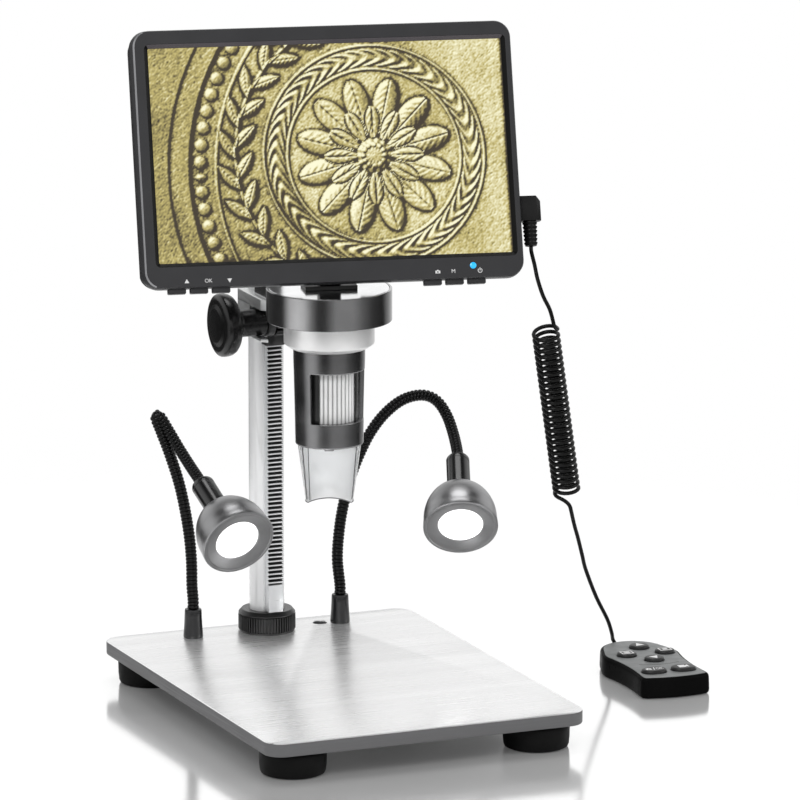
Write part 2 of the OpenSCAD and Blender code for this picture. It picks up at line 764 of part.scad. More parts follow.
module focus_wheel() {
    color("gainsboro")
    translate([0, 0, chamber_z + clear]) difference() {
        linear_extrude(chamber_top - chamber_z - 2 * clear)
            polygon([for (i = [0:4 * wheel_ribs - 1])
                let (a = 90 * i / wheel_ribs, r = wheel_d / 2 - (i % 4 < 2 ? 0 : 0.5))
                r * [cos(a), sin(a)]]);
        translate([0, 0, -1]) cylinder(d = lens_cell_d + 2 * fit, h = chamber_top - chamber_z + 2);
    }
}

module lens_cell() {
    glass_seat = 3;
    color("black")
    translate([0, 0, lens_low]) difference() {
        cylinder(d = lens_cell_d, h = chamber_top - 4 - lens_low);
        translate([0, 0, -1]) cylinder(d = lens_cell_d - 2.8, h = glass_seat + 1);
        translate([0, 0, glass_seat - 0.01])
            cylinder(d1 = 5, d2 = lens_cell_d - 4, h = chamber_top - lens_low);
    }
}

module lens_glass() {
    color("lightblue")
    translate([0, 0, lens_low + 1]) intersection() {
        cylinder(d = lens_cell_d - 2.8 - 2 * fit, h = 2);
        translate([0, 0, lens_curve]) sphere(r = lens_curve);
    }
}

// ---------------------------------------------------------------- screen mount

// Turns on the head cap and carries the knuckle of the tilt hinge
module swivel_neck() {
    color("black")
    translate([0, 0, ring_top]) rotate([0, 0, -screen_yaw]) {
        translate([-neck_foot[0] / 2, 0.2 - neck_depth, fit]) cube(neck_foot);
        translate([0, 0, -7]) cylinder(d = neck_pivot_d, h = 8);
        difference() {
            union() {
                translate([-knuckle_half, -neck_depth / 2, 1])
                    cube([2 * knuckle_half, neck_depth, hinge_rise - 1]);
                translate([0, 0, hinge_rise]) tube_along_x(knuckle_d, -knuckle_half, knuckle_half);
            }
            translate([0, 0, hinge_rise])
                tube_along_x(hinge_pin_d + 2 * fit, -knuckle_half - 1, knuckle_half + 1);
        }
    }
}

module hinge_pin() {
    half = knuckle_half + clear + lug_w;
    color("silver") on_screen_frame() tube_along_x(hinge_pin_d, -half, half);
}

// ---------------------------------------------------------------- screen

// A slab of the screen's outline between two depths, smaller by inset all round
module screen_slab(y0, y1, inset) {
    w = 2 * (screen_half - inset);
    h = screen_top - screen_bottom - 2 * inset;
    translate([0, y1, (screen_top + screen_bottom) / 2]) rotate([90, 0, 0])
        linear_extrude(y1 - y0)
            rounded_outline(w, h, max(1, screen_corner_r - inset), $fn = ARC);
}

module box(x0, x1, y0, y1, z0, z1) {
    translate([x0, y0, z0]) cube([x1 - x0, y1 - y0, z1 - z0]);
}

function key_spots() = concat([for (i = [0:2]) key_left_x + i * screen_key_pitch],
                              [for (i = [0:2]) key_right_x + i * screen_key_pitch]);

module key_outline(x, gap = 0) {
    box(x - screen_key_w / 2 - gap, x + screen_key_w / 2 + gap, key_y - gap,
        key_y + key_depth + gap, screen_bottom - key_drop, screen_bottom + key_rise + gap);
}

module key_pockets() {
    for (x = key_spots(), z = [key_travel, -1]) translate([0, 0, z]) key_outline(x, clear);
}

// Bezel: rounded face edge, sloped lip round the picture, rebate for the panel behind
module front_frame() {
    lip = 0.3;
    slope = 1.6;
    half = active_w / 2 + lip;
    mid = (active_low + active_top) / 2;
    color([0.2, 0.2, 0.21])
    on_screen_frame() difference() {
        hull() {
            screen_slab(face_y, face_y + 1, 1);
            screen_slab(face_y + 1, frame_back, 0);
        }
        box(-half, half, face_y - 1, frame_back + 1, active_low - lip, active_top + lip);
        hull() {
            box(-half - slope, half + slope, face_y - 0.1, face_y,
                active_low - lip - slope, active_top + lip + slope);
            box(-half, half, face_y, face_y + 1.2, active_low - lip, active_top + lip);
        }
        box(-active_w / 2 - panel_border - loose, active_w / 2 + panel_border + loose,
            frame_back - 0.4 - panel_t, frame_back + 1,
            active_low - panel_border - loose, active_top + panel_border + loose);
        key_pockets();
        translate([led_x, face_y - 1, led_z]) rotate([-90, 0, 0]) cylinder(d = led_d, h = 3);
        for (p = screw_spots) translate([p[0], frame_back + 1, p[1]]) rotate([90, 0, 0])
            cylinder(d = 2, h = 3.6);
    }
}

screw_spots = [for (s = [-1, 1]) [s * 0.2 * active_w, screen_bottom + 6.3]];
board_left = -12;
board_right = active_w / 2 - 4;
board_y = rear_y - 7.6;
board_t = 1.6;
chip_w = 14;
battery_size = [52, 5.4, 40];
screw_seat = frame_back + 5;
screw_head = 1.5;

// Moulded back: closed behind, with the hinge's recess open below and behind
module rear_housing() {
    back_slope = 3;
    inner = recess_half + housing_wall;
    wall_low = screen_bottom + housing_inset;
    color([0.16, 0.16, 0.17])
    on_screen_frame() {
        difference() {
            union() {
                difference() {
                    hull() {
                        screen_slab(frame_back, rear_y - back_slope, housing_inset);
                        screen_slab(rear_y - 0.2, rear_y, housing_inset + back_slope);
                    }
                    difference() {
                        hull() {
                            screen_slab(frame_back - 1, rear_y - back_slope - 1,
                                        housing_inset + housing_wall);
                            screen_slab(rear_y - housing_wall - 0.2, rear_y - housing_wall,
                                        housing_inset + back_slope + 1.2);
                        }
                        translate([0, 0, housing_wall * sqrt(2)]) bottom_slope();
                    }
                }
                box(-inner, inner, frame_back, rear_y - 0.5, wall_low, recess_top + housing_wall);
                for (p = screw_spots) box(p[0] - 3.4, p[0] + 3.4, frame_back, screw_seat + 3,
                                          wall_low, p[1] + 3);
                for (x = [board_left + 6, board_right - 6], z = [active_low + 18, active_top - 18])
                    translate([x, rear_y - 1, z]) rotate([90, 0, 0])
                        cylinder(d = 5, h = rear_y - 1 - board_y - board_t);
            }
            box(-recess_half, recess_half, frame_back + 1.6, rear_y + 1, -20, recess_top);
            box(-recess_half, recess_half, frame_back - 1, rear_y + 1, -20, -knuckle_d / 2 - 0.5);
            bottom_slope();
            key_pockets();
            for (p = screw_spots) translate([p[0], frame_back - 1, p[1]]) rotate([-90, 0, 0]) {
                cylinder(d = 2.2, h = screen_t);
                translate([0, 0, screw_seat - frame_back + 1]) cylinder(d = 4, h = screen_t);
            }
            translate([0, plug_y, plug_z])
                tube_along_x(plug_pin_d + 2 * loose, screen_half - 6, screen_half + 1);
            box(screen_half - 5, screen_half + 1, plug_y - 1.4, plug_y + 1.4, plug_z + 20, plug_z + 28);
            box(screen_half - 5, screen_half + 1, plug_y - 0.9, plug_y + 0.9, plug_z + 36, plug_z + 48);
        }
        difference() {
            for (s = [-1, 1]) translate([s * (knuckle_half + clear + lug_w / 2), 0, 0])
                box(-lug_w / 2, lug_w / 2, frame_back + 1.5, 3.8, -3.8, recess_top + 0.5);
            tube_along_x(hinge_pin_d + 2 * fit, -knuckle_half - lug_w - 1, knuckle_half + lug_w + 1);
        }
    }
}

// Cuts the housing's lower back edge away so that it clears the ring when it leans back
module bottom_slope() {
    translate([-screen_half, frame_back + 2.5, screen_bottom - 0.5]) rotate([45, 0, 0])
        translate([0, 0, -20]) cube([2 * screen_half, 40, 20]);
}

module lcd_panel() {
    color([0.75, 0.65, 0.3])
    on_screen_frame() box(-active_w / 2 - panel_border, active_w / 2 + panel_border,
        frame_back - 0.4 - panel_t, frame_back - 0.4, active_low - panel_border, active_top + panel_border);
}

module main_board() {
    color("seagreen")
    on_screen_frame() {
        box(board_left, board_right, board_y, board_y + board_t, active_low + 12, active_top - 12);
        box(board_left + 32, board_left + 32 + chip_w, board_y - 1.4, board_y + 0.1,
            active_low + 36, active_low + 36 + chip_w);
    }
}

module battery() {
    color("silver")
    on_screen_frame() box(board_left - 6 - battery_size[0], board_left - 6,
        rear_y - housing_wall - battery_size[1], rear_y - housing_wall,
        active_low + 18, active_low + 18 + battery_size[2]);
}

module status_led() {
    color("deepskyblue")
    on_screen_frame() translate([led_x, face_y, led_z]) rotate([-90, 0, 0])
        cylinder(d = led_d - 2 * fit, h = 2);
}

module housing_screws() {
    color("dimgray")
    on_screen_frame() for (p = screw_spots) translate([p[0], screw_seat, p[1]]) rotate([90, 0, 0]) {
        translate([0, 0, -screw_head]) cylinder(d = 3.6, h = screw_head);
        cylinder(d = 2 - 2 * fit, h = screw_seat - frame_back + 2.4);
    }
}

// Right-angle plug: faceted body against the housing, ribbed relief pointing down
module remote_plug() {
    half = plug_body[1] / 2;
    color("black")
    on_screen_frame() {
        translate([plug_x, plug_y - half, plug_z - plug_body[2] / 2]) difference() {
            cube(plug_body);
            for (y = [0, plug_body[1]]) translate([plug_body[0], y, -1]) rotate([0, 0, 45])
                cube([2.4, 2.4, 2 * plug_body[2] + 2], center = true);
            translate([plug_body[0], -1, plug_body[2]]) rotate([0, 45, 0])
                cube([3, 30, 3], center = true);
        }
        translate([0, plug_y, plug_z]) tube_along_x(plug_pin_d, screen_half - 5.6, screen_half + 1);
        translate([plug_tail_x, plug_y, plug_end_z]) difference() {
            union() {
                cylinder(d1 = plug_tail_d - 1.4, d2 = plug_tail_d - 0.8, h = plug_tail_l + 0.5);
                for (i = [0:5]) translate([0, 0, 0.5 + i * 1.7])
                    cylinder(d1 = plug_tail_d - 1 + i * 0.12, d2 = plug_tail_d - 0.4 + i * 0.12, h = 1);
            }
            translate([0, 0, -1]) cylinder(d = cord_d + 2 * clear, h = 1 + cord_seat);
        }
    }
}

module screen_key(i) {
    color([0.12, 0.12, 0.12]) on_screen_frame() key_outline(key_spots()[i]);
}

// ---------------------------------------------------------------- cord

module cord_top() {
    color("black") sweep(smooth(cord_top_path, 2), cord_d, [0.3, 1, 0.1]);
}

module cord_coil() {
    axis = coil_bottom - coil_top;
    color("black")
    translate(coil_top) aim(axis) translate([0, 0, -norm(axis)]) cylinder(d = coil_d, h = norm(axis));
}

module cord_tail() {
    color("black") sweep(smooth(cord_tail_path, 3), cord_d, [0.3, 1, 0.1]);
}

// ---------------------------------------------------------------- lamps

module gooseneck(path) {
    color("black") sweep(smooth(path, 3), goose_d, [0.2, 1, 0.1], 10);
}

// Half outline of a lamp head, radius and height: its neck on top, then a dome, a groove
// and a band, and a shallow reflector round the lit disc
cup_r = lamp_d / 2 - 0.3;
cup_mid = lamp_face - lamp_band;
cup_profile = [
    [0, 0], [lamp_neck_d / 2 - 0.6, 0], [lamp_neck_d / 2, -0.6],
    each arc([0, -cup_mid], cup_r, acos(lamp_neck_d / 2 / cup_r), 0, 10),
    [cup_r - 0.5, -cup_mid], [cup_r - 0.5, -cup_mid - 0.5], [lamp_d / 2, -cup_mid - 0.5],
    [lamp_d / 2, -lamp_face + 0.5], [lamp_d / 2 - 0.5, -lamp_face], [lamp_d / 2 - 2, -lamp_face],
    [lamp_disc_d / 2 + loose, -lamp_face + 1.4], [lamp_disc_d / 2 + loose, -lamp_face + 3.4],
    [0, -lamp_face + 3.4]
];

module lamp_head(at, v) {
    color("dimgray") translate(at) aim(v) rotate_extrude() polygon(cup_profile);
}

module lamp_lens(at, v) {
    color("white")
    translate(at) aim(v) translate([0, 0, -lamp_face + 1.4]) cylinder(d = lamp_disc_d, h = 2);
}

// ---------------------------------------------------------------- remote

// Right half of the remote's outline, from the middle of its bulging front edge round the
// front corner, along the waist and round the cord's end
function remote_half(inset) =
    let (big = [0, remote_end - 24], big_r = remote_w / 2 - inset,
         tip_r = remote_w / 2 - 2.8 - inset, tip = [0, remote_end - inset - tip_r],
         lean = asin((big_r - tip_r) / (tip[1] - big[1])),
         bulge_r = 50, bulge = [0, bulge_r - remote_bulge + inset],
         front = 15.6 - inset, corner_r = max(1, 3 - inset), corner_x = front - corner_r,
         turn = asin(corner_x / (bulge_r - corner_r)),
         corner = [corner_x, bulge[1] - (bulge_r - corner_r) * cos(turn)],
         waist_x = 15, waist_y = 16, rise = big[1] - waist_y,
         waist_r = (rise * rise + waist_x * waist_x - pow(remote_w / 2, 2))
                   / (2 * (remote_w / 2 - waist_x)),
         waist = [waist_x + waist_r, waist_y],
         foot_turn = acos((waist[0] - front) / (waist_r + inset)),
         touch_turn = asin(rise / (waist_r + remote_w / 2)))
    concat(arc(bulge, bulge_r, -90, -90 + turn, 5), arc(corner, corner_r, -80 + turn, 0, 4),
           arc(waist, waist_r + inset, 180 + foot_turn, 180 - touch_turn, 8),
           arc(big, big_r, 2 - touch_turn, lean - 1, 6), arc(tip, tip_r, lean, 90, 8));

module remote_outline(inset = 0) {
    half = remote_half(inset);
    n = len(half);
    polygon(concat(half, [for (i = [n - 2:-1:1]) [-half[i][0], half[i][1]]]));
}

module on_remote() {
    translate(remote_at) rotate([0, 0, remote_turn]) children();
}

remote_keys = [[2.6, 49.4], [-7.4, 38.4], [10.2, 38.6], [1, 27.6], [-6.6, 8.6], [6.8, 8.6]];

module key_shape(i, gap = 0) {
    long = i < 4 ? 0 : (remote_key_l - remote_key_d) / 2;
    d = remote_key_d + 2 * gap;
    translate(remote_keys[i]) {
        for (s = [-1, 1]) translate([s * long, 0]) circle(d = d);
        if (long > 0) square([2 * long, d], center = true);
    }
}

module remote_base() {
    wall = 1.4;
    color([0.08, 0.08, 0.08])
    on_remote() difference() {
        linear_extrude(remote_h - remote_cover_t) remote_outline();
        translate([0, 0, 1.4]) linear_extrude(remote_h) remote_outline(wall);
        translate([0, remote_end + 1, remote_h / 2]) rotate([90, 0, 0]) cylinder(d = cord_d + 2 * clear, h = 8);
    }
}

module remote_cover() {
    color([0.4, 0.41, 0.41])
    on_remote() translate([0, 0, remote_h - remote_cover_t]) linear_extrude(remote_cover_t)
        difference() {
            remote_outline();
            for (i = [0:5]) key_shape(i, clear);
        }
}

// Sits in the base and carries the six switches
module remote_board() {
    color("seagreen")
    on_remote() {
        translate([0, 0, 1.4]) linear_extrude(1.6) remote_outline(2);
        for (p = remote_keys) translate([p[0] - 2, p[1] - 2, 3]) cube([4, 4, 1.2]);
    }
}

module remote_key(i) {
    travel = 0.8;
    color([0.1, 0.1, 0.1])
    on_remote() translate([0, 0, 4.2 + travel]) linear_extrude(remote_h + 1.4 - 4.2 - travel) key_shape(i);
}

stage_plate();
feet();
base_screws();
column();
column_cap();
column_collar();
rack();
rack_screws();
lamp_socket();
gooseneck_boots();
carriage_block();
holder_ring();
arm_screws();
brake_screw();
head_cap();
barrel();
lock_nut();
clear_hood();
led_board();
sensor_board();
focus_knob();
pinion_shaft();
focus_wheel();
lens_cell();
lens_glass();
swivel_neck();
hinge_pin();
front_frame();
rear_housing();
lcd_panel();
main_board();
battery();
status_led();
housing_screws();
remote_plug();
screen_key(0);  // screen_key_up
screen_key(1);  // screen_key_ok
screen_key(2);  // screen_key_down
screen_key(3);  // screen_key_home
screen_key(4);  // screen_key_menu
screen_key(5);  // screen_key_power
cord_top();
cord_coil();
cord_tail();
gooseneck(left_path);  // left_gooseneck
lamp_head(left_neck, left_aim);  // left_lamp_head
lamp_lens(left_neck, left_aim);  // left_lamp_lens
gooseneck(right_path);  // right_gooseneck
lamp_head(right_neck, right_aim);  // right_lamp_head
lamp_lens(right_neck, right_aim);  // right_lamp_lens
remote_base();
remote_cover();
remote_board();
remote_key(0);  // remote_key_right
remote_key(1);  // remote_key_menu
remote_key(2);  // remote_key_zoom
remote_key(3);  // remote_key_left
remote_key(4);  // remote_key_photo
remote_key(5);  // remote_key_video
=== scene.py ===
"""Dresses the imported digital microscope: stand, camera head, screen, lamps, cord and remote."""

import json
import math

import bmesh
import bpy
import numpy as np
from bpy.props import FloatProperty, FloatVectorProperty, IntProperty, PointerProperty
from mathutils import Matrix, Vector
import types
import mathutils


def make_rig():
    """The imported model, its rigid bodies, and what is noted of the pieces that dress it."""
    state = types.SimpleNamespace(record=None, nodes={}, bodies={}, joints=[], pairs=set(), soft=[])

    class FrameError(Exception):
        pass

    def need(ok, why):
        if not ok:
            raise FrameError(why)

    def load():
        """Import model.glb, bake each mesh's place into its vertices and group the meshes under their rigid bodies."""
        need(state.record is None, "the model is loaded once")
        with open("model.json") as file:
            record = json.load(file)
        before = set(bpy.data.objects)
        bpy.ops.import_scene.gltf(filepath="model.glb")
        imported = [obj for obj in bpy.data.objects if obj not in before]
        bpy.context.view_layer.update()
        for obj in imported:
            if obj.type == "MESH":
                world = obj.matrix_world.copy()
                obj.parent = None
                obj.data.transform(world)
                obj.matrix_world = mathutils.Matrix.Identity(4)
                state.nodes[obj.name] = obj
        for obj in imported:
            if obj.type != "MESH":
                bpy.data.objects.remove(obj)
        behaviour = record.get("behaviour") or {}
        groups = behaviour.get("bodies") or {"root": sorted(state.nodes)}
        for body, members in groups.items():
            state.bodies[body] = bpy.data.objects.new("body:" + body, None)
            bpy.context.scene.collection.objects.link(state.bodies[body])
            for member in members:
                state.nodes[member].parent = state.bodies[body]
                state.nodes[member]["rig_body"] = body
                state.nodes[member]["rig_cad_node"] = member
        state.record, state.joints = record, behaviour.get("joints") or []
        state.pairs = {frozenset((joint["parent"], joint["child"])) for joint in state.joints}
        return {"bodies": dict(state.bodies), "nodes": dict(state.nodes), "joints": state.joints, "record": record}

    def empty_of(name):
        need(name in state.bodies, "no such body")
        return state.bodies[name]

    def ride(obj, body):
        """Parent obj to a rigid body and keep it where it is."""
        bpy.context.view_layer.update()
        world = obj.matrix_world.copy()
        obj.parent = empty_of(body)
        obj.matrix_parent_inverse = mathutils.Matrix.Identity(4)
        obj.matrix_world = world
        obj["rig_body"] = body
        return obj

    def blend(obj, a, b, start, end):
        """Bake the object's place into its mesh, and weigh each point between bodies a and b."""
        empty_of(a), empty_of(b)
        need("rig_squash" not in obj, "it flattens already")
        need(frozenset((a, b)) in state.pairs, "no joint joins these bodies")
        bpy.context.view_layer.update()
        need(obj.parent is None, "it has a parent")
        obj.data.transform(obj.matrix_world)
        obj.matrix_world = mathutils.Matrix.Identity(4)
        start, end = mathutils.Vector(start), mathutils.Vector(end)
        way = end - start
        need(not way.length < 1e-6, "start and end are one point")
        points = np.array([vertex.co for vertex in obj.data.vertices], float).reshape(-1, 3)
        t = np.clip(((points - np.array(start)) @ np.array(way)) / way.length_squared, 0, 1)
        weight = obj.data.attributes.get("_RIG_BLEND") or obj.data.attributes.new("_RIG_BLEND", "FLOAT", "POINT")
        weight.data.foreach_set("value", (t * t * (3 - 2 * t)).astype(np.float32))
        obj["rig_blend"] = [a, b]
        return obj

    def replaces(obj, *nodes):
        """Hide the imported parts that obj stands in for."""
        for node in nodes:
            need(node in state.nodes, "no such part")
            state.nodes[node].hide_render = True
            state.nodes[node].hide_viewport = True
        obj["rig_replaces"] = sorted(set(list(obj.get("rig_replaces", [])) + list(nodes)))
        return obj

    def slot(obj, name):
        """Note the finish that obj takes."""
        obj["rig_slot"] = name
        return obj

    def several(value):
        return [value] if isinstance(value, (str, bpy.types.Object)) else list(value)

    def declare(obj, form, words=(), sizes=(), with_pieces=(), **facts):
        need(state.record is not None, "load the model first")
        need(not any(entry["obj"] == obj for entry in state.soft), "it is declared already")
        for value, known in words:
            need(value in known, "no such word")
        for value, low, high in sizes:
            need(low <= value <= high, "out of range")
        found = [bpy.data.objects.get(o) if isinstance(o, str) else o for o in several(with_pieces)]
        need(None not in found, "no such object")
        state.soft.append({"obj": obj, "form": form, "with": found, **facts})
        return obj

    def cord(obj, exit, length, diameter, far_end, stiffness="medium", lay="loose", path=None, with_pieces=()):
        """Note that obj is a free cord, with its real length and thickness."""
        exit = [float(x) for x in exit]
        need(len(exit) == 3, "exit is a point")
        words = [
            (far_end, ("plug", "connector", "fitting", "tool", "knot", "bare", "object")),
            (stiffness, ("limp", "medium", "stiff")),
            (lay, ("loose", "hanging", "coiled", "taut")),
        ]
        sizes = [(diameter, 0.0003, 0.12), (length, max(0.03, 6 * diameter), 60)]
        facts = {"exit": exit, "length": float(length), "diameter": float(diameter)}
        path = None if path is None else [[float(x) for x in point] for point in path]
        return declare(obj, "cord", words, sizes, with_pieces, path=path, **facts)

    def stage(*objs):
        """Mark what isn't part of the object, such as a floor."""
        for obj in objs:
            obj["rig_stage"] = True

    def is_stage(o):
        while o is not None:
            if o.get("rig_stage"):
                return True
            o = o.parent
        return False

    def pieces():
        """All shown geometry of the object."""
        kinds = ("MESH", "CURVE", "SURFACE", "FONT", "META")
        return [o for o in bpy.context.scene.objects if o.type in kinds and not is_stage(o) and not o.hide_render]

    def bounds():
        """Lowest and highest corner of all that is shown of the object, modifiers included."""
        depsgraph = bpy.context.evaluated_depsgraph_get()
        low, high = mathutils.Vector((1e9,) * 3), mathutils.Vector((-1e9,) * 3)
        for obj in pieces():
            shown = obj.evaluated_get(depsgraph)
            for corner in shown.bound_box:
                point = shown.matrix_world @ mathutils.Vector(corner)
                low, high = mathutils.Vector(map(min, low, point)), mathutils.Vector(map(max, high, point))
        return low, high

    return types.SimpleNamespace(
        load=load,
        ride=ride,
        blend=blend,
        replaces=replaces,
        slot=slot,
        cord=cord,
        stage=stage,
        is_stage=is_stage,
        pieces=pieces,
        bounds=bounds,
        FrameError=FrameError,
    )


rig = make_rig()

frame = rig.load()
CAD_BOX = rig.bounds()

bl_info = {
    "name": "LCD digital microscope",
    "version": (1, 0, 0),
    "blender": (4, 5, 0),
    "location": "3D View > Sidebar > Microscope",
    "description": "Dresses the microscope's solids with finished pieces and materials",
    "category": "Object",
}

MM = 0.001
UP = Vector((0, 0, 1))


def at(x, y, z):
    return Matrix.Translation((x * MM, y * MM, z * MM))


def spin(degrees, axis):
    return Matrix.Rotation(math.radians(degrees), 4, axis)


# The screen's frame: x to its right, y into it, z up it, from the tilt hinge's axis
ON_SCREEN = at(0, 0, 176.4) @ spin(-13, "Z") @ spin(-20, "X")
FLOOR_Z = -17
# The remote's frame: y towards the cord's end, from the middle of its front edge
ON_REMOTE = at(142, -41, FLOOR_Z) @ spin(-3, "Z")
COLUMN_Y = 71


def colour(name, text, default):
    return FloatVectorProperty(name=name, description=text, subtype="COLOR", size=3,
                               default=default, min=0, max=1)


def length(name, text, default):
    return FloatProperty(name=name, description=text, default=default, min=0, unit="LENGTH")


def number(name, text, default, low, high):
    return IntProperty(name=name, description=text, default=default, min=low, max=high)


class MicroscopeSizes(bpy.types.PropertyGroup):
    """Sizes of the details that the solids leave out, in metres."""

    plate_edge: length("Plate edge", "Chamfer round the stage plate", 0.0008)
    rib_pitch: length("Gooseneck pitch", "Spacing of a gooseneck's ribs", 0.0016)
    icon_height: length("Icon height", "Thickness of a printed icon", 0.00006)
    key_dome: length("Key dome", "Crown of a remote button", 0.0005)
    cord: length("Cord", "Diameter of the remote's cord", 0.0017)
    coil_turns: number("Coil turns", "Turns of the curly cord", 29, 10, 40)
    picture_columns: number("Picture columns", "Columns of the picture's mesh", 380, 60, 380)


class MicroscopeColours(bpy.types.PropertyGroup):
    """Colours of the main finishes."""

    plate: colour("Plate", "Brushed aluminium of the stage", (0.90, 0.90, 0.90))
    steel: colour("Steel", "Polished column and cap", (0.94, 0.945, 0.95))
    aluminium: colour("Aluminium", "Satin carriage block", (0.74, 0.75, 0.75))
    nut: colour("Lock nut", "Satin lock nut", (0.92, 0.92, 0.92))
    black: colour("Black", "Gloss black plastic", (0.010, 0.010, 0.011))
    barrel: colour("Barrel", "Satin black lacquer", (0.25, 0.25, 0.254))
    frame: colour("Frame", "Fine moulded bezel", (0.024, 0.024, 0.026))
    lamp: colour("Lamp", "Turned lamp heads", (0.31, 0.31, 0.315))
    remote: colour("Remote", "Grey film on the remote", (0.179, 0.185, 0.185))
    wheel: colour("Wheel", "Light grey focus wheel", (0.86, 0.86, 0.86))
    status: colour("Status light", "Lit blue lamp", (0.02, 0.42, 0.85))
    gold_light: colour("Gold light", "Lit parts of the picture", (1.0, 0.97, 0.68))
    gold_mid: colour("Gold middle", "Middle tone of the picture", (0.55, 0.46, 0.15))
    gold_dark: colour("Gold dark", "Shadows of the picture", (0.035, 0.022, 0.006))


def sizes():
    return bpy.context.scene.microscope_sizes


def tint(base):
    """A colour: the name of one of the panel's colours, a grey's value, or three values."""
    if isinstance(base, str):
        return tuple(getattr(bpy.context.scene.microscope_colours, base))
    return base if isinstance(base, tuple) else (base,) * 3


# ------------------------------------------------------------------ nodes and finishes


def feed(socket, value):
    if isinstance(value, bpy.types.NodeSocket):
        socket.id_data.links.new(value, socket)
    else:
        socket.default_value = value


def add(tree, kind, *values, out=None, **named):
    """A new node. Its inputs are set or linked in order, or by name with _ for a space; a name in
    lower case is a setting. Gives the output named by out, or the first that is in use."""
    node = tree.nodes.new(kind)
    for key in [name for name in named if name.islower()]:
        setattr(node, key, named.pop(key))
    for socket, value in zip([s for s in node.inputs if s.enabled], values):
        feed(socket, value)
    for key, value in named.items():
        feed(node.inputs[key.replace("_", " ")], value)
    return node.outputs[out] if out else next((s for s in node.outputs if s.enabled), None)


class Finish:
    """A material while it is being built, with short calls for its nodes."""

    def __init__(self, name, base, roughness, metallic=0.0, specular=0.5):
        self.material = bpy.data.materials.new(name)
        self.material.use_nodes = True
        self.tree = self.material.node_tree
        self.base = base
        self.place = self.add("ShaderNodeTexCoord", out="Object")
        self.set(Base_Color=(*base, 1), Roughness=roughness, Metallic=metallic,
                 Specular_IOR_Level=specular)

    def find(self, kind):
        return next(node for node in self.tree.nodes if node.type == kind)

    def add(self, kind, *values, **named):
        return add(self.tree, kind, *values, **named)

    def set(self, **inputs):
        """Sets or links inputs of the shader, by name with _ for a space."""
        for name, value in inputs.items():
            feed(self.find("BSDF_PRINCIPLED").inputs[name.replace("_", " ")], value)
        return self

    def noise(self, scale, stretch=(1, 1, 1), detail=3):
        """Noise over the piece, about scale bumps to a metre, drawn out by stretch."""
        place = self.add("ShaderNodeMapping", self.place, Scale=stretch)
        return self.add("ShaderNodeTexNoise", place, scale, detail)

    def rings(self, centre, axis):
        """Fine noise that changes only with the distance from an axis, as turning leaves it."""
        turn = Vector(axis).to_track_quat("Z", "Y").inverted().to_euler()
        shifted = self.add("ShaderNodeVectorMath", self.place, centre, operation="SUBTRACT")
        spun = self.add("ShaderNodeVectorRotate", shifted, rotation_type="EULER_XYZ", Rotation=turn)
        flat = self.add("ShaderNodeVectorMath", spun, (1, 1, 0), operation="MULTIPLY")
        radius = self.add("ShaderNodeVectorMath", flat, operation="LENGTH")
        return self.add("ShaderNodeTexNoise", radius, 2500, 2, noise_dimensions="1D")

    def span(self, source, low, high):
        return self.add("ShaderNodeMapRange", source, 0.3, 0.7, low, high)

    def vary_colour(self, source, dark, light):
        """Base colour between dark and light shares of itself."""
        tones = [(*[min(1, c * share) for c in self.base], 1) for share in (dark, light)]
        mixed = self.add("ShaderNodeMix", self.span(source, 0, 1), *tones, data_type="RGBA")
        return self.set(Base_Color=mixed)

    def vary_roughness(self, source, low, high):
        return self.set(Roughness=self.span(source, low, high))

    def bump(self, source, strength, depth):
        return self.set(Normal=self.add("ShaderNodeBump", strength, depth, Height=source))


def brushed(name, base, roughness, stretch, metallic=1.0, strength=0.25):
    """Metal with fine straight lines; stretch is small along the lines."""
    made = Finish(name, base, roughness, metallic)
    lines = made.noise(1500, stretch, 2)
    made.vary_colour(made.noise(60, stretch, 2), 0.94, 1.04)
    made.vary_roughness(lines, roughness * 0.8, roughness * 1.25)
    return made.bump(lines, strength, 0.00004)


def turned(name, base, roughness, metallic=1.0, strength=0.2, centre=(0, 0, 0), axis=UP):
    """Metal or lacquer with fine turning rings round an axis."""
    made = Finish(name, base, roughness, metallic)
    lines = made.rings(centre, axis)
    made.vary_roughness(lines, roughness * 0.85, roughness * 1.2)
    made.vary_colour(made.noise(90), 0.93, 1.05)
    return made.bump(lines, strength, 0.00003)


def moulded(name, base, roughness, grain, strength, specular=0.5, ior=1.5):
    """Plastic or rubber with a fine grain, and slight wear in its gloss."""
    made = Finish(name, base, roughness, 0.0, specular).set(IOR=ior)
    made.vary_colour(made.noise(70), 0.9, 1.1)
    made.vary_roughness(made.noise(220, detail=5), roughness * 0.85, min(1, roughness * 1.2))
    return made.bump(made.noise(grain), strength, 0.00003)


def lit(name, base, roughness, strength):
    made = Finish(name, [c * 0.5 for c in base], roughness)
    made.vary_roughness(made.noise(300), roughness * 0.9, roughness * 1.1)
    return made.set(Emission_Color=(*base, 1), Emission_Strength=strength)


def clear(name, base, roughness):
    """Clear plastic with a faint flow in its surface."""
    made = Finish(name, base, roughness).set(Transmission_Weight=1.0, IOR=1.46)
    made.vary_roughness(made.noise(150), roughness, roughness * 2)
    return made.bump(made.noise(120, (1, 1, 0.3), 1), 0.08, 0.0002)


def circuit(name, base, roughness):
    """Green board with paler tracks."""
    made = Finish(name, base, roughness)
    made.set(Base_Color=made.add("ShaderNodeTexBrick", made.place, (0.01, 0.15, 0.055, 1),
                                 (0.012, 0.19, 0.07, 1), (0.05, 0.30, 0.13, 1), 220))
    return made.vary_roughness(made.noise(300), 0.3, 0.45)


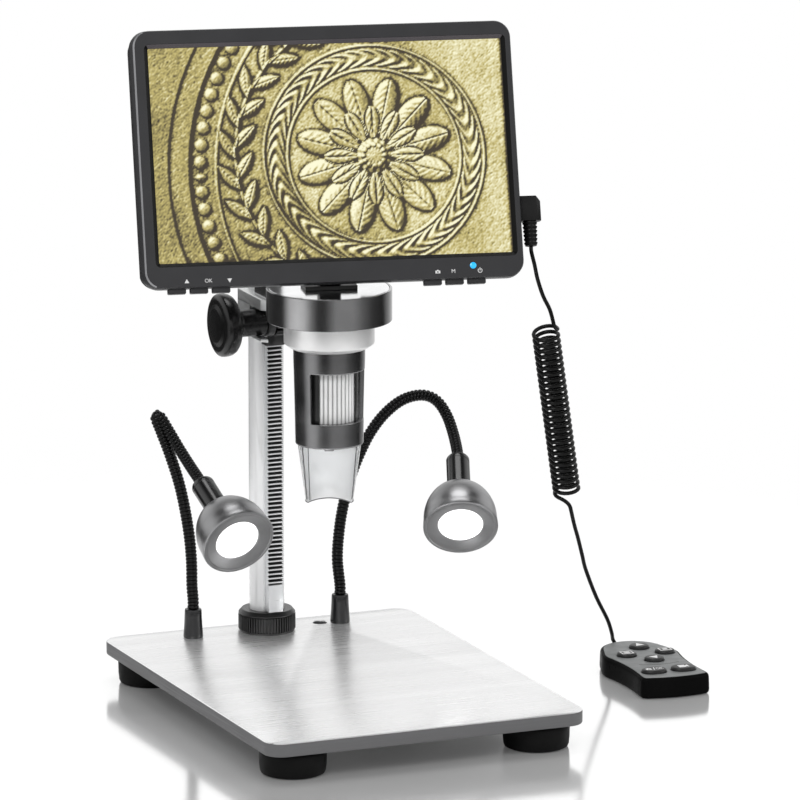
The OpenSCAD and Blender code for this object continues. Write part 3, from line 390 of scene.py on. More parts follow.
def lit_glass(name, base, roughness):
    """A lit panel behind glass: the piece's own colours glow, the glass above is glossy."""
    made = Finish(name, base, roughness, specular=0.25)
    relief = made.add("ShaderNodeAttribute", attribute_name="relief")
    made.set(Emission_Color=relief, Emission_Strength=0.96)
    return made.vary_roughness(made.noise(30), 0.14, 0.2)


FLOOR_CLEAR = (0.30, 0.46)
FLOOR_GLOW = 0.2
FLOOR_MIRROR = 0.72


def table_white(name, base, roughness):
    """A polished white that the eye sees lit, and that fades out with the distance."""
    made = Finish(name, base, roughness, specular=0.2)
    made.vary_roughness(made.noise(8), 0.45, 0.55)
    seen = made.add("ShaderNodeLightPath", out="Is Camera Ray")

    def times(share):
        return made.add("ShaderNodeMath", seen, share, operation="MULTIPLY")

    made.set(Emission_Color=(1, 1, 1, 1), Emission_Strength=times(FLOOR_GLOW))
    mirror = made.add("ShaderNodeBsdfAnisotropic", (1, 1, 1, 1), 0.12)
    surface = made.add("ShaderNodeMixShader", times(FLOOR_MIRROR),
                       made.find("BSDF_PRINCIPLED").outputs[0], mirror)
    reach = made.add("ShaderNodeVectorMath", made.place, operation="LENGTH")
    fade = made.add("ShaderNodeMapRange", reach, *FLOOR_CLEAR, interpolation_type="SMOOTHSTEP")
    see_through = made.add("ShaderNodeBsdfTransparent")
    feed(made.find("OUTPUT_MATERIAL").inputs["Surface"],
         made.add("ShaderNodeMixShader", fade, surface, see_through))
    return made


# name: maker, base colour, roughness, and the maker's further values
FINISHES = {
    "plate_silver": (brushed, "plate", 0.30, (0.02, 1, 1), 0.8, 0.08),
    # the plate's sides: a darker copy of its brushed metal, painted shade
    "plate_side": (brushed, (0.105, 0.105, 0.108), 0.5, (0.02, 0.02, 1), 0.2),
    "column_steel": (brushed, "steel", 0.12, (1, 1, 0.015), 0.1, 0.06),
    "rack_steel": (brushed, (0.80, 0.81, 0.82), 0.34, (0.03, 1, 1), 0.6),
    # the faces between the rack's teeth: painted shade
    "rack_gap": (brushed, 0.05, 0.4, (0.03, 1, 1), 0.4),
    "block_aluminium": (brushed, "aluminium", 0.34, (1, 1, 0.05), 0.75),
    "battery_foil": (brushed, 0.6, 0.4, (1, 0.05, 1)),
    "cap_steel": (turned, "steel", 0.14),
    "pinion_black": (turned, 0.07, 0.36, 1.0, 0.2, (0, 0.05488, 0.139), (1, 0, 0)),
    "nut_aluminium": (turned, "nut", 0.32, 0.6),
    "ring_black": (turned, (0.46, 0.46, 0.465), 0.17, 1.0, 0.05),
    "barrel_lacquer": (turned, "barrel", 0.2, 1.0, 0.05),
    "collar_black": (turned, 0.06, 0.3, 0.9, 0.2, (0, COLUMN_Y * MM, 0)),
    # a brighter, half metal copy of the frame's plastic for its left chamfer only: painted highlight
    "frame_edge": (turned, (0.30, 0.30, 0.31), 0.3, 0.8, 0.02),
    "foot_rubber": (moulded, 0.004, 0.5, 2500, 0.2, 0.08),
    "boot_rubber": (moulded, "black", 0.22, 2500, 0.08),
    "screw_black": (moulded, 0.03, 0.35, 3000, 0.1),
    "knob_plastic": (moulded, 0.006, 0.24, 1800, 0.06, 0.4),
    "hinge_paint": (moulded, 0.01, 0.34, 2600, 0.1, 0.25),
    "frame_plastic": (moulded, "frame", 0.34, 5200, 0.08, 0.3),
    # the picture's lip: a lighter copy on its downward slope, painted light, and a darker one on the rest, painted
    # shade
    "lip_grey": (moulded, (0.085, 0.077, 0.085), 0.5, 4000, 0.05, 0.2),
    "lip_black": (moulded, 0.004, 0.4, 4000, 0.05, 0.1),
    "housing_plastic": (moulded, (0.022, 0.022, 0.023), 0.5, 3200, 0.3, 0.3),
    "socket_plastic": (moulded, 0.015, 0.4, 3200, 0.2, 0.3),
    "cord_jacket": (moulded, 0.003, 0.3, 3000, 0.05, 0.16),
    "plug_rubber": (moulded, 0.006, 0.40, 3000, 0.12, 0.2),
    "gooseneck_steel": (moulded, 0.002, 0.22, 1500, 0.05, 0.2),
    "neck_metal": (moulded, 0.006, 0.2, 2500, 0.04, 0.6),
    "remote_side": (moulded, 0.004, 0.3, 3000, 0.05, 0.3, 1.07),
    "remote_film": (moulded, "remote", 0.5, 5000, 0.2, 0.4),
    "key_silicone": (moulded, 0.008, 0.38, 3500, 0.1, 0.35),
    "wheel_plastic": (moulded, "wheel", 0.4, 2500, 0.1),
    # the wheel's faces between its ribs: painted shade
    "wheel_groove": (moulded, 0.34, 0.5, 2500, 0.1),
    # grey lines where the clear hood's edges are seen: painted reflection
    "hood_line": (moulded, (0.10, 0.10, 0.105), 0.3, 3000, 0.05),
    "lamp_glow": (lit, 1, 0.35, 1.6),
    "status_blue": (lit, "status", 0.2, 0.9),
    # white print with a faint glow of its own: painted light
    "icon_white": (lit, 0.9, 0.5, 0.25),
    "circuit_green": (circuit, (0.01, 0.16, 0.06), 0.35),
    "hood_clear": (clear, (0.98, 0.99, 0.995), 0.01),
    # the hood rim's underside, tinted dark: painted shade
    "hood_rim": (clear, (0.12, 0.125, 0.13), 0.05),
    "hood_satin": (clear, (0.97, 0.975, 0.98), 0.36),
    "lens_clear": (clear, (0.86, 0.90, 1.0), 0.01),
    "lit_picture": (lit_glass, 0.02, 0.16),
    "floor_white": (table_white, 0.93, 0.5),
}


MADE = {}


def finish(name):
    """One material of the object, made at its first use."""
    if name not in MADE:
        maker, base, *values = FINISHES[name]
        MADE[name] = maker(name, tint(base), *values).material
    return MADE[name]


# ------------------------------------------------------------------ meshes


def new_object(name, data):
    obj = bpy.data.objects.new(name, data)
    bpy.context.scene.collection.objects.link(obj)
    return obj


def take(bm, name, look=None, angle=32):
    """The bmesh as an object with its finish, smooth up to an angle."""
    mesh = bpy.data.meshes.new(name)
    bm.to_mesh(mesh)
    bm.free()
    obj = new_object(name, mesh)
    if look:
        paint(mesh, look)
    mesh.shade_smooth()
    mesh.set_sharp_from_angle(angle=math.radians(angle))
    return obj


def paint(mesh, look):
    mesh.materials.clear()
    mesh.materials.append(finish(look))


def settle(obj, body, slot, *nodes):
    """A finished piece rides on its body, and stands for its solids."""
    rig.ride(obj, body)
    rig.slot(obj, slot)
    if nodes:
        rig.replaces(obj, *nodes)


def piece(bm, name, look, body, slot, *nodes, angle=32, regions=()):
    """A finished piece from a bmesh. Each of regions is another finish and a test for its faces."""
    obj = take(bm, name, look, angle)
    for region in regions:
        second_finish(obj, *region)
    settle(obj, body, slot, *nodes)
    return obj


def second_finish(obj, look, belongs):
    """Gives the faces for which belongs(face) holds another finish."""
    obj.data.materials.append(finish(look))
    for face in filter(belongs, obj.data.polygons):
        face.material_index = len(obj.data.materials) - 1


def edged(node, edge, name, look, body, slot, angle=32, segments=2, sharp=30):
    """A finished piece from a solid: welded, with the edges above the sharp angle rounded."""
    bm = bmesh.new()
    bm.from_mesh(frame["nodes"][node].data)
    bmesh.ops.remove_doubles(bm, verts=bm.verts, dist=2e-6)
    bmesh.ops.dissolve_limit(bm, angle_limit=math.radians(0.5), verts=bm.verts, edges=bm.edges)
    if edge:
        edges = [e for e in bm.edges
                 if len(e.link_faces) == 2 and e.calc_face_angle(0) > math.radians(sharp)]
        bmesh.ops.bevel(bm, geom=edges, offset=edge * MM, offset_type="OFFSET", segments=segments,
                        profile=0.5, affect="EDGES", clamp_overlap=True)
    bmesh.ops.triangulate(bm, faces=[f for f in bm.faces if len(f.verts) > 4])
    return piece(placed(bm), name, look, body, slot, node, angle=angle)


def placed(bm, matrix=Matrix()):
    """The bmesh with its faces outwards, moved by matrix."""
    bmesh.ops.recalc_face_normals(bm, faces=bm.faces)
    bmesh.ops.transform(bm, matrix=matrix, verts=bm.verts)
    return bm


def joined(*parts):
    """One bmesh of several."""
    whole = bmesh.new()
    for part in parts:
        mesh = bpy.data.meshes.new("part")
        part.to_mesh(mesh)
        part.free()
        whole.from_mesh(mesh)
        bpy.data.meshes.remove(mesh)
    return whole


def baked(obj):
    """The bmesh of an object with its modifiers applied; the object is removed."""
    depsgraph = bpy.context.evaluated_depsgraph_get()
    mesh = bpy.data.meshes.new_from_object(obj.evaluated_get(depsgraph))
    bm = bmesh.new()
    bm.from_mesh(mesh)
    bpy.data.objects.remove(obj)
    bpy.data.meshes.remove(mesh)
    return bm


def skin(loops, ring=False, opening=None, unit=MM):
    """Faces between closed loops, all anticlockwise; a loop of one point is a pole. With ring the
    last loop joins the first. The faces for which opening(row, column) holds are left out."""
    bm = bmesh.new()
    rows = [[bm.verts.new(Vector(p) * unit) for p in loop] for loop in loops]
    count = max(len(row) for row in rows)
    for i, (low, high) in enumerate(zip(rows, rows[1:] + rows[:1] * ring)):
        for k in range(count):
            n = (k + 1) % count
            corners = dict.fromkeys((low[k % len(low)], low[n % len(low)],
                                     high[n % len(high)], high[k % len(high)]))
            if len(corners) > 2 and not (opening and opening(i, k)):
                bm.faces.new(corners)
    return bm


def lathe(profile, segments=96, matrix=Matrix()):
    """Spins (radius, height) pairs round Z. A profile that starts off the axis is a closed loop."""
    loops = [circle(radius, height, segments) if radius else [(0, 0, height)]
             for radius, height in profile]
    return placed(skin(loops, ring=profile[0][0] > 0), matrix)


def loft(loops, matrix=Matrix(), ring=False, unit=MM):
    """Skins closed loops of equal length. Both ends are capped, or joined with ring."""
    bm = skin(loops, ring, unit=unit)
    if not ring:
        verts, count = list(bm.verts), len(loops[0])
        for row in (verts[:count], verts[-count:]):
            bmesh.ops.triangulate(bm, faces=[bm.faces.new(row)])
    return placed(bm, matrix)


def arc(centre, radius, start, end, steps):
    """Points of an arc in a plane; angles in degrees."""
    turns = [math.radians(start + (end - start) * i / steps) for i in range(steps + 1)]
    return [(centre[0] + radius * math.cos(t), centre[1] + radius * math.sin(t)) for t in turns]


def circle(radius, z, segments):
    turns = [2 * math.pi * k / segments for k in range(segments)]
    return [(radius * math.cos(t), radius * math.sin(t), z) for t in turns]


def disc(centre, radius, steps):
    return arc(centre, radius, 0, 360, steps)[:-1]


def band(centre, radius, width, start, end, steps):
    """A curved stroke."""
    return (arc(centre, radius, start, end, steps)
            + arc(centre, radius - width, end, start, steps))


def box(left, low, right, high):
    return [(left, low), (right, low), (right, high), (left, high)]


def rounded(width, height, radius, centre=(0, 0), steps=8):
    """Outline of a rectangle with round corners, anticlockwise."""
    points = []
    for sx, sy, start in ((1, -1, -90), (1, 1, 0), (-1, 1, 90), (-1, -1, 180)):
        corner = (centre[0] + sx * (width / 2 - radius), centre[1] + sy * (height / 2 - radius))
        points += arc(corner, radius, start, start + 90, steps)
    return points


def plate(outlines, low, high, edge=0.0, matrix=Matrix(), steps=2):
    """A flat sheet: the first outline less the others, between two heights, with edges rounded."""
    curve = bpy.data.curves.new("outline", "CURVE")
    curve.dimensions = "2D"
    curve.fill_mode = "BOTH"
    curve.extrude = ((high - low) / 2 - edge) * MM
    curve.bevel_depth = edge * MM
    curve.bevel_resolution = steps
    curve.offset = -edge * MM
    for i, outline in enumerate(outlines):
        area = sum(a[0] * b[1] - b[0] * a[1] for a, b in zip(outline, outline[1:] + outline[:1]))
        line = poly_line(curve, [(x * MM, y * MM, 0) for x, y in
                                 (outline if (area > 0) == (i == 0) else outline[::-1])])
        line.use_cyclic_u = True
    return flat_mesh(curve, 1e-6, matrix @ at(0, 0, (low + high) / 2))


def poly_line(curve, points):
    spline = curve.splines.new("POLY")
    spline.points.add(len(points) - 1)
    for point, place in zip(spline.points, points):
        point.co = (*place, 1)
    return spline


def flat_mesh(curve, weld, matrix):
    """The mesh of a flat curve or a text, which is then removed."""
    bm = baked(new_object("outline", curve))
    bpy.data.curves.remove(curve)
    bmesh.ops.remove_doubles(bm, verts=bm.verts, dist=weld)
    return placed(bm, matrix)


def tube(points, radius, sides=12):
    """A round capped tube along points in metres, without twist. radius, in metres too, is one
    value or one for each point."""
    points = [Vector(p) for p in points]
    radii = radius if hasattr(radius, "__len__") else [radius] * len(points)
    loops = []
    side = (points[1] - points[0]).normalized().orthogonal().normalized()
    for i, point in enumerate(points):
        along = (points[min(i + 1, len(points) - 1)] - points[max(i - 1, 0)]).normalized()
        side = (side - along * side.dot(along)).normalized()
        other = along.cross(side)
        loops.append([point + radii[i] * (x * side + y * other) for x, y, _ in circle(1, 0, sides)])
    return loft(loops, unit=1)


def smooth_line(route, steps):
    """The solids' own smooth line through a route's points, in metres."""
    points = [Vector(p) * MM for p in route]
    line = []
    for i in range(len(points) - 1):
        a, b = points[max(i - 1, 0)], points[i]
        c, d = points[i + 1], points[min(i + 2, len(points) - 1)]
        for t in (s / steps for s in range(steps)):
            line.append(0.5 * (2 * b + (c - a) * t + (2 * a - 5 * b + 4 * c - d) * t * t
                               + (3 * b - a - 3 * c + d) * t * t * t))
    return line + [points[-1]]


# ------------------------------------------------------------------ repeats by Geometry Nodes


def repeating(name, inputs, build):
    """A tree, made at its first use, that puts copies on points. build gives the points, what
    is copied, and the copies' rotation."""
    if name in bpy.data.node_groups:
        return bpy.data.node_groups[name]
    tree = bpy.data.node_groups.new(name, "GeometryNodeTree")
    for label, kind in (("Geometry", "Geometry"), *inputs, ("Material", "Material")):
        tree.interface.new_socket(label, in_out="INPUT", socket_type="NodeSocket" + kind)
    tree.interface.new_socket("Geometry", in_out="OUTPUT", socket_type="NodeSocketGeometry")
    given = tree.nodes.new("NodeGroupInput").outputs
    points, one, turn = build(tree, given)
    copied = add(tree, "GeometryNodeInstanceOnPoints", points, Instance=one, Rotation=turn)
    real = add(tree, "GeometryNodeRealizeInstances", copied)
    painted = add(tree, "GeometryNodeSetMaterial", real, Material=given["Material"])
    add(tree, "NodeGroupOutput", painted)
    return tree


def row_nodes(tree, given):
    line = add(tree, "GeometryNodeMeshLine", mode="OFFSET", Count=given["Count"],
               Offset=given["Step"])
    index = add(tree, "GeometryNodeInputIndex")
    turn = add(tree, "ShaderNodeMath", index, given["Turn"], operation="MULTIPLY")
    return line, given["Geometry"], add(tree, "ShaderNodeCombineXYZ", Z=turn)


def rib_nodes(tree, given):
    points = add(tree, "GeometryNodeCurveToPoints", given["Geometry"], given["Pitch"],
                 mode="LENGTH")
    rib = add(tree, "GeometryNodeObjectInfo", given["Rib"], out="Geometry")
    return points, rib, points.node.outputs["Rotation"]


def grown(obj, tree, values):
    """The bmesh that a tree makes of an object, which is then removed."""
    modifier = obj.modifiers.new("repeat", "NODES")
    modifier.node_group = tree
    for item in tree.interface.items_tree:
        if item.in_out == "INPUT" and item.name in values:
            modifier[item.identifier] = values[item.name]
    return baked(obj)


def copies(bm, look, count, step=(0, 0, 0), turn=0.0):
    """Copies of a mesh in a row, or turned about Z by turn each."""
    tree = repeating("row_of_copies", (("Count", "Int"), ("Step", "Vector"), ("Turn", "Float")),
                     row_nodes)
    values = {"Count": count, "Step": step, "Turn": turn, "Material": finish(look)}
    return grown(take(bm, "one_of_row"), tree, values)


def ribs_along(points, rib, pitch, look):
    """Copies of a rib along a line of points, one every pitch."""
    tree = repeating("ribs_along_curve", (("Rib", "Object"), ("Pitch", "Float")), rib_nodes)
    curve = bpy.data.curves.new("rib_line", "CURVE")
    curve.dimensions = "3D"
    poly_line(curve, points)
    one = take(rib, "one_rib")
    made = grown(new_object("rib_line", curve), tree,
                 {"Rib": one, "Pitch": pitch, "Material": finish(look)})
    bpy.data.objects.remove(one)
    return made


# ------------------------------------------------------------------ stage

CAMERA_AT = Vector((-1.2943, -3.1479, 0.8751))
CAMERA_RIGHT = Vector((0.9215, -0.3883, 0))
CAMERA_PITCH = math.radians(-12.58)
CAMERA_LENS = 374.3
SENSOR = 36
AHEAD = UP.cross(CAMERA_RIGHT).normalized()


def set_camera():
    look = AHEAD * math.cos(CAMERA_PITCH) + UP * math.sin(CAMERA_PITCH)
    turn = Matrix((CAMERA_RIGHT, CAMERA_RIGHT.cross(look), -look)).transposed().to_4x4()
    data = bpy.data.cameras.new("camera")
    data.lens = CAMERA_LENS
    data.sensor_width = SENSOR
    data.clip_end = 50
    camera = new_object("camera", data)
    camera.matrix_world = Matrix.Translation(CAMERA_AT) @ turn
    bpy.context.scene.camera = camera


LAMP_AIM = Vector((0, 0, 0.08))
# name, place, diameter and power
STUDIO_LAMPS = (("key_lamp", (-1.1, -1.3, 1.5), 0.9, 17), ("fill_lamp", (1.4, -1.0, 0.9), 1.1, 7),
                ("top_lamp", (0.1, 0.3, 1.8), 1.2, 12))


def add_lamp(name, place, size, power):
    data = bpy.data.lights.new(name, "AREA")
    data.shape = "DISK"
    data.size = size
    data.energy = power
    turn = (Vector(place) - LAMP_AIM).normalized().to_track_quat("Z", "Y")
    new_object(name, data).matrix_world = Matrix.Translation(place) @ turn.to_matrix().to_4x4()


AMBIENT = 0.58
CEILING = 0.06
# What gloss sees low down all round: turn in degrees from straight ahead, strength
WALLS = [(-180, 0.10), (-120, 0.03), (-93, 0.03), (-76, 0.8), (-60, 1.0), (-46, 0.85),
         (-32, 0.26), (-21, 0.04), (-8, 0.03), (5, 0.22), (13, 0.36), (46, 0.36), (66, 0.16),
         (86, 0.05), (115, 0.02), (180, 0.10)]


def set_world():
    """Even light on the object; a white background; soft walls for gloss to show."""
    world = bpy.data.worlds.new("studio")
    world.use_nodes = True
    bpy.context.scene.world = world
    tree = world.node_tree
    tree.nodes.clear()

    def ramp(value, low, high):
        return add(tree, "ShaderNodeMapRange", value, low, high, interpolation_type="SMOOTHSTEP")

    def choose(factor, a, b):
        return add(tree, "ShaderNodeMix", factor, a, b)

    way = add(tree, "ShaderNodeTexCoord", out="Generated")
    forward = add(tree, "ShaderNodeVectorMath", way, -AHEAD, operation="DOT_PRODUCT")
    across = add(tree, "ShaderNodeVectorMath", way, CAMERA_RIGHT, operation="DOT_PRODUCT")
    turn = add(tree, "ShaderNodeMath", across, forward, operation="ARCTAN2")
    share = add(tree, "ShaderNodeMath", turn, 0.5 / math.pi, 0.5, operation="MULTIPLY_ADD")
    walls = add(tree, "ShaderNodeValToRGB", share)
    stops = walls.node.color_ramp.elements
    for i, (angle, strength) in enumerate(WALLS):
        stop = stops[i] if i < 1 else stops.new(angle / 360 + 0.5)
        stop.position = angle / 360 + 0.5
        stop.color = (strength, strength, strength, 1)
    stops.remove(stops[-1])
    height = add(tree, "ShaderNodeSeparateXYZ", way, out="Z")
    gloss = choose(ramp(height, 0.0, 0.12), walls, 1.0)
    gloss = choose(ramp(height, 0.5, 0.8), gloss, CEILING)
    path = add(tree, "ShaderNodeLightPath").node.outputs
    white = add(tree, "ShaderNodeMath", path["Is Camera Ray"], path["Is Transmission Ray"],
                operation="MAXIMUM")
    level = choose(white, choose(path["Is Glossy Ray"], AMBIENT, gloss), 1.0)
    background = add(tree, "ShaderNodeBackground", (1, 1, 1, 1), level)
    add(tree, "ShaderNodeOutputWorld", background)


def set_floor():
    """A polished white table top that fades into the white background."""
    bm = bmesh.new()
    bmesh.ops.create_circle(bm, cap_ends=True, segments=96, radius=0.6,
                            matrix=at(30, 0, FLOOR_Z - 0.2))
    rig.stage(take(bm, "table_top", "floor_white"))


class MICROSCOPE_OT_stage(bpy.types.Operator):
    """Make the camera, the soft lamps, the white background and the table top"""

    bl_idname = "microscope.stage"
    bl_label = "Camera, light and table"

    def execute(self, context):
        set_camera()
        set_world()
        set_floor()
        for lamp in STUDIO_LAMPS:
            add_lamp(*lamp)
        return {"FINISHED"}


# ------------------------------------------------------------------ cord


def on_screen(x, y, z):
    """A point of the screen's frame, in the shared frame."""
    return tuple(c / MM for c in ON_SCREEN @ Vector((x * MM, y * MM, z * MM)))


PLUG_EXIT = on_screen(85.6, -2, 1.7)
COIL_TOP = Vector((92.8, -14, 140))
COIL_BOTTOM = Vector((109.8, 1.6, 66.4))
COIL_DOWN = (COIL_BOTTOM - COIL_TOP).normalized()
COIL_RADIUS = 5.2


def on_coil(height, turn):
    """A point on the coil's round: height as a share from its top, turn in degrees from +X."""
    spoke = Vector((math.cos(math.radians(turn)), math.sin(math.radians(turn)), 0))
    spoke = (spoke - COIL_DOWN * spoke.dot(COIL_DOWN)).normalized()
    return tuple(COIL_TOP.lerp(COIL_BOTTOM, height) + spoke * COIL_RADIUS)


CORD_TOP_ROUTE = [
    on_screen(85.6, -2, 3.2), PLUG_EXIT, on_screen(85.6, -2, -0.7), (84.4, -21.4, 170.6),
    (86.6, -19.6, 164), (89.6, -18.6, 156.4), (92.3, -19.4, 150.6), on_coil(-0.075, -66)]
CORD_TAIL_ROUTE = [
    on_coil(1.085, -105), (113.2, 1, 51), (116, 3.4, 44.5), (119.4, 6.4, 35.8),
    (122.6, 9.9, 28.6), (129.4, 14, 15), (137.2, 19.4, 3), (141.2, 23.6, -4.4),
    (142.77, 26.1, -7.59), (143.63, 26.6, -9.23), (144.49, 26.1, -10.86),
    (145.12, 24.75, -12.06), (145.35, 22.9, -12.5)]
TAIL_SPLIT = 4
ROUTE_STEPS = 4
COIL_STEPS = 20
# length of the arc that leads each end of the helix into its lead, and its steps
COIL_BEND, BEND_STEPS = 8.2, 8
RELIEF_RADII = (0.9, 1.1, 1.2, 1.3, 1.4, 1.45, 1.5, 1.5, 1.5)


def coil_line(turns):
    """The curly part: a helix whose two ends bend out of it, into the leads above and below."""
    top, radius, bend = COIL_TOP * MM, COIL_RADIUS * MM, COIL_BEND * MM
    first = Vector(CORD_TOP_ROUTE[-1]) * MM - top
    last = Vector(CORD_TAIL_ROUTE[0]) * MM - top
    side = (first - COIL_DOWN * first.dot(COIL_DOWN)).normalized()
    other = side.cross(COIL_DOWN)
    start, end = first.dot(COIL_DOWN), last.dot(COIL_DOWN)
    across = bend * 2 / math.pi
    angle = 2 * math.pi * (turns - 1) + math.atan2(last.dot(other), last.dot(side)) % (2 * math.pi)
    run = radius * angle - 2 * across
    pitch = math.atan2(end - start - 2 * across, run)
    helix_steps = round(COIL_STEPS * run / (2 * math.pi * radius))
    # each span's length, its slopes at the start and the end, and its steps
    spans = [(bend, math.pi / 2, pitch, BEND_STEPS),
             (run / math.cos(pitch), pitch, pitch, helix_steps),
             (bend, pitch, math.pi / 2, BEND_STEPS)]
    around, along = 0.0, 0.0
    steps = [(0.0, 0.0)]
    for span, begin, finish_at, count in spans:
        for i in range(count):
            heading = begin + (finish_at - begin) * (i + 0.5) / count
            around += math.cos(heading) * span / count / radius
            along += math.sin(heading) * span / count
            steps.append((around, along))
    points = []
    for turned_by, fallen in steps:
        turned_by *= angle / around
        fallen *= (end - start) / along
        spoke = side * math.cos(turned_by) + other * math.sin(turned_by)
        points.append(top + COIL_DOWN * (start + fallen) + spoke * radius)
    return points


def run_length(points):
    return sum((b - a).length for a, b in zip(points, points[1:]))


def add_cord(name, points, node, a, b, start, end, lay, with_pieces=()):
    """One stretch of the cord, which bends between two bodies."""
    diameter = sizes().cord
    obj = take(tube(points, diameter / 2), name, "cord_jacket", 60)
    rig.slot(obj, "cord_black")
    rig.replaces(obj, node)
    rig.blend(obj, a, b, start=Vector(start) * MM, end=Vector(end) * MM)
    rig.cord(obj, exit=points[0], length=run_length(points), diameter=diameter,
            far_end="object", stiffness="limp", lay=lay, path=points, with_pieces=with_pieces)


class MICROSCOPE_OT_cord(bpy.types.Operator):
    """Make the remote's cord: plug, upper lead, curly part and lower lead"""

    bl_idname = "microscope.cord"
    bl_label = "Cord and plug"

    def execute(self, context):
        plug = edged("remote_plug", 0.3, "cord_plug", "plug_rubber", "screen", "black_rubber")
        upper = smooth_line(CORD_TOP_ROUTE, ROUTE_STEPS)
        add_cord("cord_upper_lead", upper, "cord_top", "screen", "swivel", PLUG_EXIT,
                 CORD_TOP_ROUTE[-2], "hanging", [plug])
        add_cord("cord_curls", coil_line(sizes().coil_turns), "cord_coil", "swivel", "carriage",
                 COIL_TOP, COIL_BOTTOM, "coiled")
        tail = smooth_line(CORD_TAIL_ROUTE, ROUTE_STEPS)
        split = TAIL_SPLIT * ROUTE_STEPS
        add_cord("cord_lower_lead", tail[:split + 1], "cord_tail", "carriage", "stand",
                 CORD_TAIL_ROUTE[0], CORD_TAIL_ROUTE[TAIL_SPLIT], "hanging")
        relief = piece(tube(tail[-len(RELIEF_RADII):], [r * MM for r in RELIEF_RADII]),
                       "cord_relief", "cord_jacket", "remote", "cord_black", angle=60)
        add_cord("cord_remote_lead", tail[split:], "cord_tail", "stand", "remote",
                 CORD_TAIL_ROUTE[TAIL_SPLIT], CORD_TAIL_ROUTE[-3], "hanging", [relief])
        return {"FINISHED"}


# ------------------------------------------------------------------ stand

FOOT_SPOTS = [(x, y) for x in (-54.5, 54.5) for y in (-92.5, 68.5)]
LAMP_OFFSET = 34
PLATE_TOP, PLATE_LOW = 0, -6
RACK_FRONT, RACK_SEAT, RACK_HALF = 60.4, 64.8, 3.3
TEETH, TOOTH_FIRST, TOOTH_PITCH = 85, 23.07, 0.6 * math.pi


def make_plate():
    outline = rounded(142, 194, 8, (0, -12), 10)
    accessory_hole = disc((25.8, 74), 3, 48)
    sheet = plate([outline, accessory_hole], PLATE_LOW, PLATE_TOP, sizes().plate_edge / MM)
    # the sides take a darker copy of the top's finish: painted shade
    piece(sheet, "plate", "plate_silver", "stand", "silver_plate", "stage_plate", angle=25,
          regions=[("plate_side", lambda face: face.normal.z < 0.5)])


def make_feet():
    profile = ((3.4, 7.4), (3.8, 7.4), (3.8, 0.6), (4.4, 0), (12.2, 0), (13.2, 0.5), (13.6, 1.4),
               (13.9, 4), (14, 8.6), (13.8, 9.6), (13.3, 10.2), (13.3, 11), (3.4, 11))
    feet = joined(*[lathe(profile, 64, at(x, y, FLOOR_Z)) for x, y in FOOT_SPOTS])
    piece(feet, "rubber_feet", "foot_rubber", "stand", "black_rubber", "feet")


def make_column():
    flat_angle = 55.76
    outline = arc((0, COLUMN_Y), 7.5, -flat_angle, 180 + flat_angle, 72)
    piece(plate([outline], -0.5, 190, 0.25), "column_bar", "column_steel", "stand",
          "polished_steel", "column", angle=20)
    profile = ((0, 0), (7.3, 0), (7.5, 0.2), (7.5, 1.5), (7.2, 1.9), (6.4, 2.8), (0, 2.8))
    piece(lathe(profile, 96, at(0, COLUMN_Y, 190)), "column_top", "cap_steel", "stand",
          "polished_steel", "column_cap")


def make_collar():
    """Ridges all round between two plain rims, and a bright bevelled top."""
    core = ((7.6, 0), (11.4, 0), (11.9, 0.5), (11.9, 1.3), (11.55, 1.6), (11.55, 7.6),
            (11.9, 7.9), (12.2, 8.3), (12.2, 8.7), (10.9, 10.2), (7.6, 10.2))
    count = 60
    ridge = plate([rounded(0.62, 1.1, 0.25, (0, 0), 2)], 1.4, 7.9, 0.1,
                  at(11.75, 0, 0) @ spin(90, "Z"), 1)
    ridges = copies(ridge, "collar_black", count, turn=2 * math.pi / count)
    collar = placed(joined(lathe(core, 120), ridges), at(0, COLUMN_Y, -0.5))
    piece(collar, "knurled_collar", "collar_black", "stand", "knurled_steel", "column_collar")


def make_rack():
    """A bar with cut teeth; each tooth has a chamfer along its tip. The flanks and floors between the teeth take a
    dark finish: painted shade.
    """
    root = RACK_FRONT + 1.35

    def bar(front, radius):
        return rounded(RACK_HALF * 2, RACK_SEAT - front, radius, (0, (RACK_SEAT + front) / 2), 2)

    def in_shaded_gap(face):
        return (RACK_FRONT * MM < face.center.y < (root + 0.3) * MM
                and abs(face.normal.x) < 0.8 and 22 * MM < face.center.z < 182 * MM)

    # the outline's x runs along -Y and its y along Z; the sheet's thickness lies along X
    stand_up = Matrix(((0, 0, 1), (1, 0, 0), (0, 1, 0))).to_4x4()
    flank = [(0, 0.96), (-1.3, 0.5), (-1.44, 0.28), (-1.44, -0.28), (-1.3, -0.5), (0, -0.96)]
    tooth = plate([flank], -RACK_HALF, RACK_HALF, 0.12, steps=1)
    bmesh.ops.transform(tooth, matrix=at(0, root + 0.05, TOOTH_FIRST) @ stand_up,
                        verts=tooth.verts)
    teeth = copies(tooth, "rack_steel", TEETH, (0, 0, TOOTH_PITCH * MM))
    end = bar(RACK_FRONT, 0.25)
    rack = joined(plate([bar(root, 0.2)], 20, 183.5, 0.1), plate([end], 9.9, 21.9, 0.2),
                  plate([end], 182.4, 184, 0.2), teeth)
    piece(rack, "toothed_rack", "rack_steel", "stand", "rack_steel", "rack",
          regions=[("rack_gap", in_shaded_gap)])


def make_boots():
    profile = ((0, -6), (3.2, -6), (3.2, 0), (4.1, 0), (4.25, 0.5), (4.2, 1.6), (3.95, 5),
               (3.75, 9), (3.65, 11.8), (3.5, 12.3), (3.1, 12.5), (2.5, 12.4), (2.5, 9), (0, 9))
    boots = [lathe(profile, 48, at(x, COLUMN_Y, 0)) for x in (-LAMP_OFFSET, LAMP_OFFSET)]
    piece(joined(*boots), "lamp_boots", "boot_rubber", "stand", "black_rubber", "gooseneck_boots")


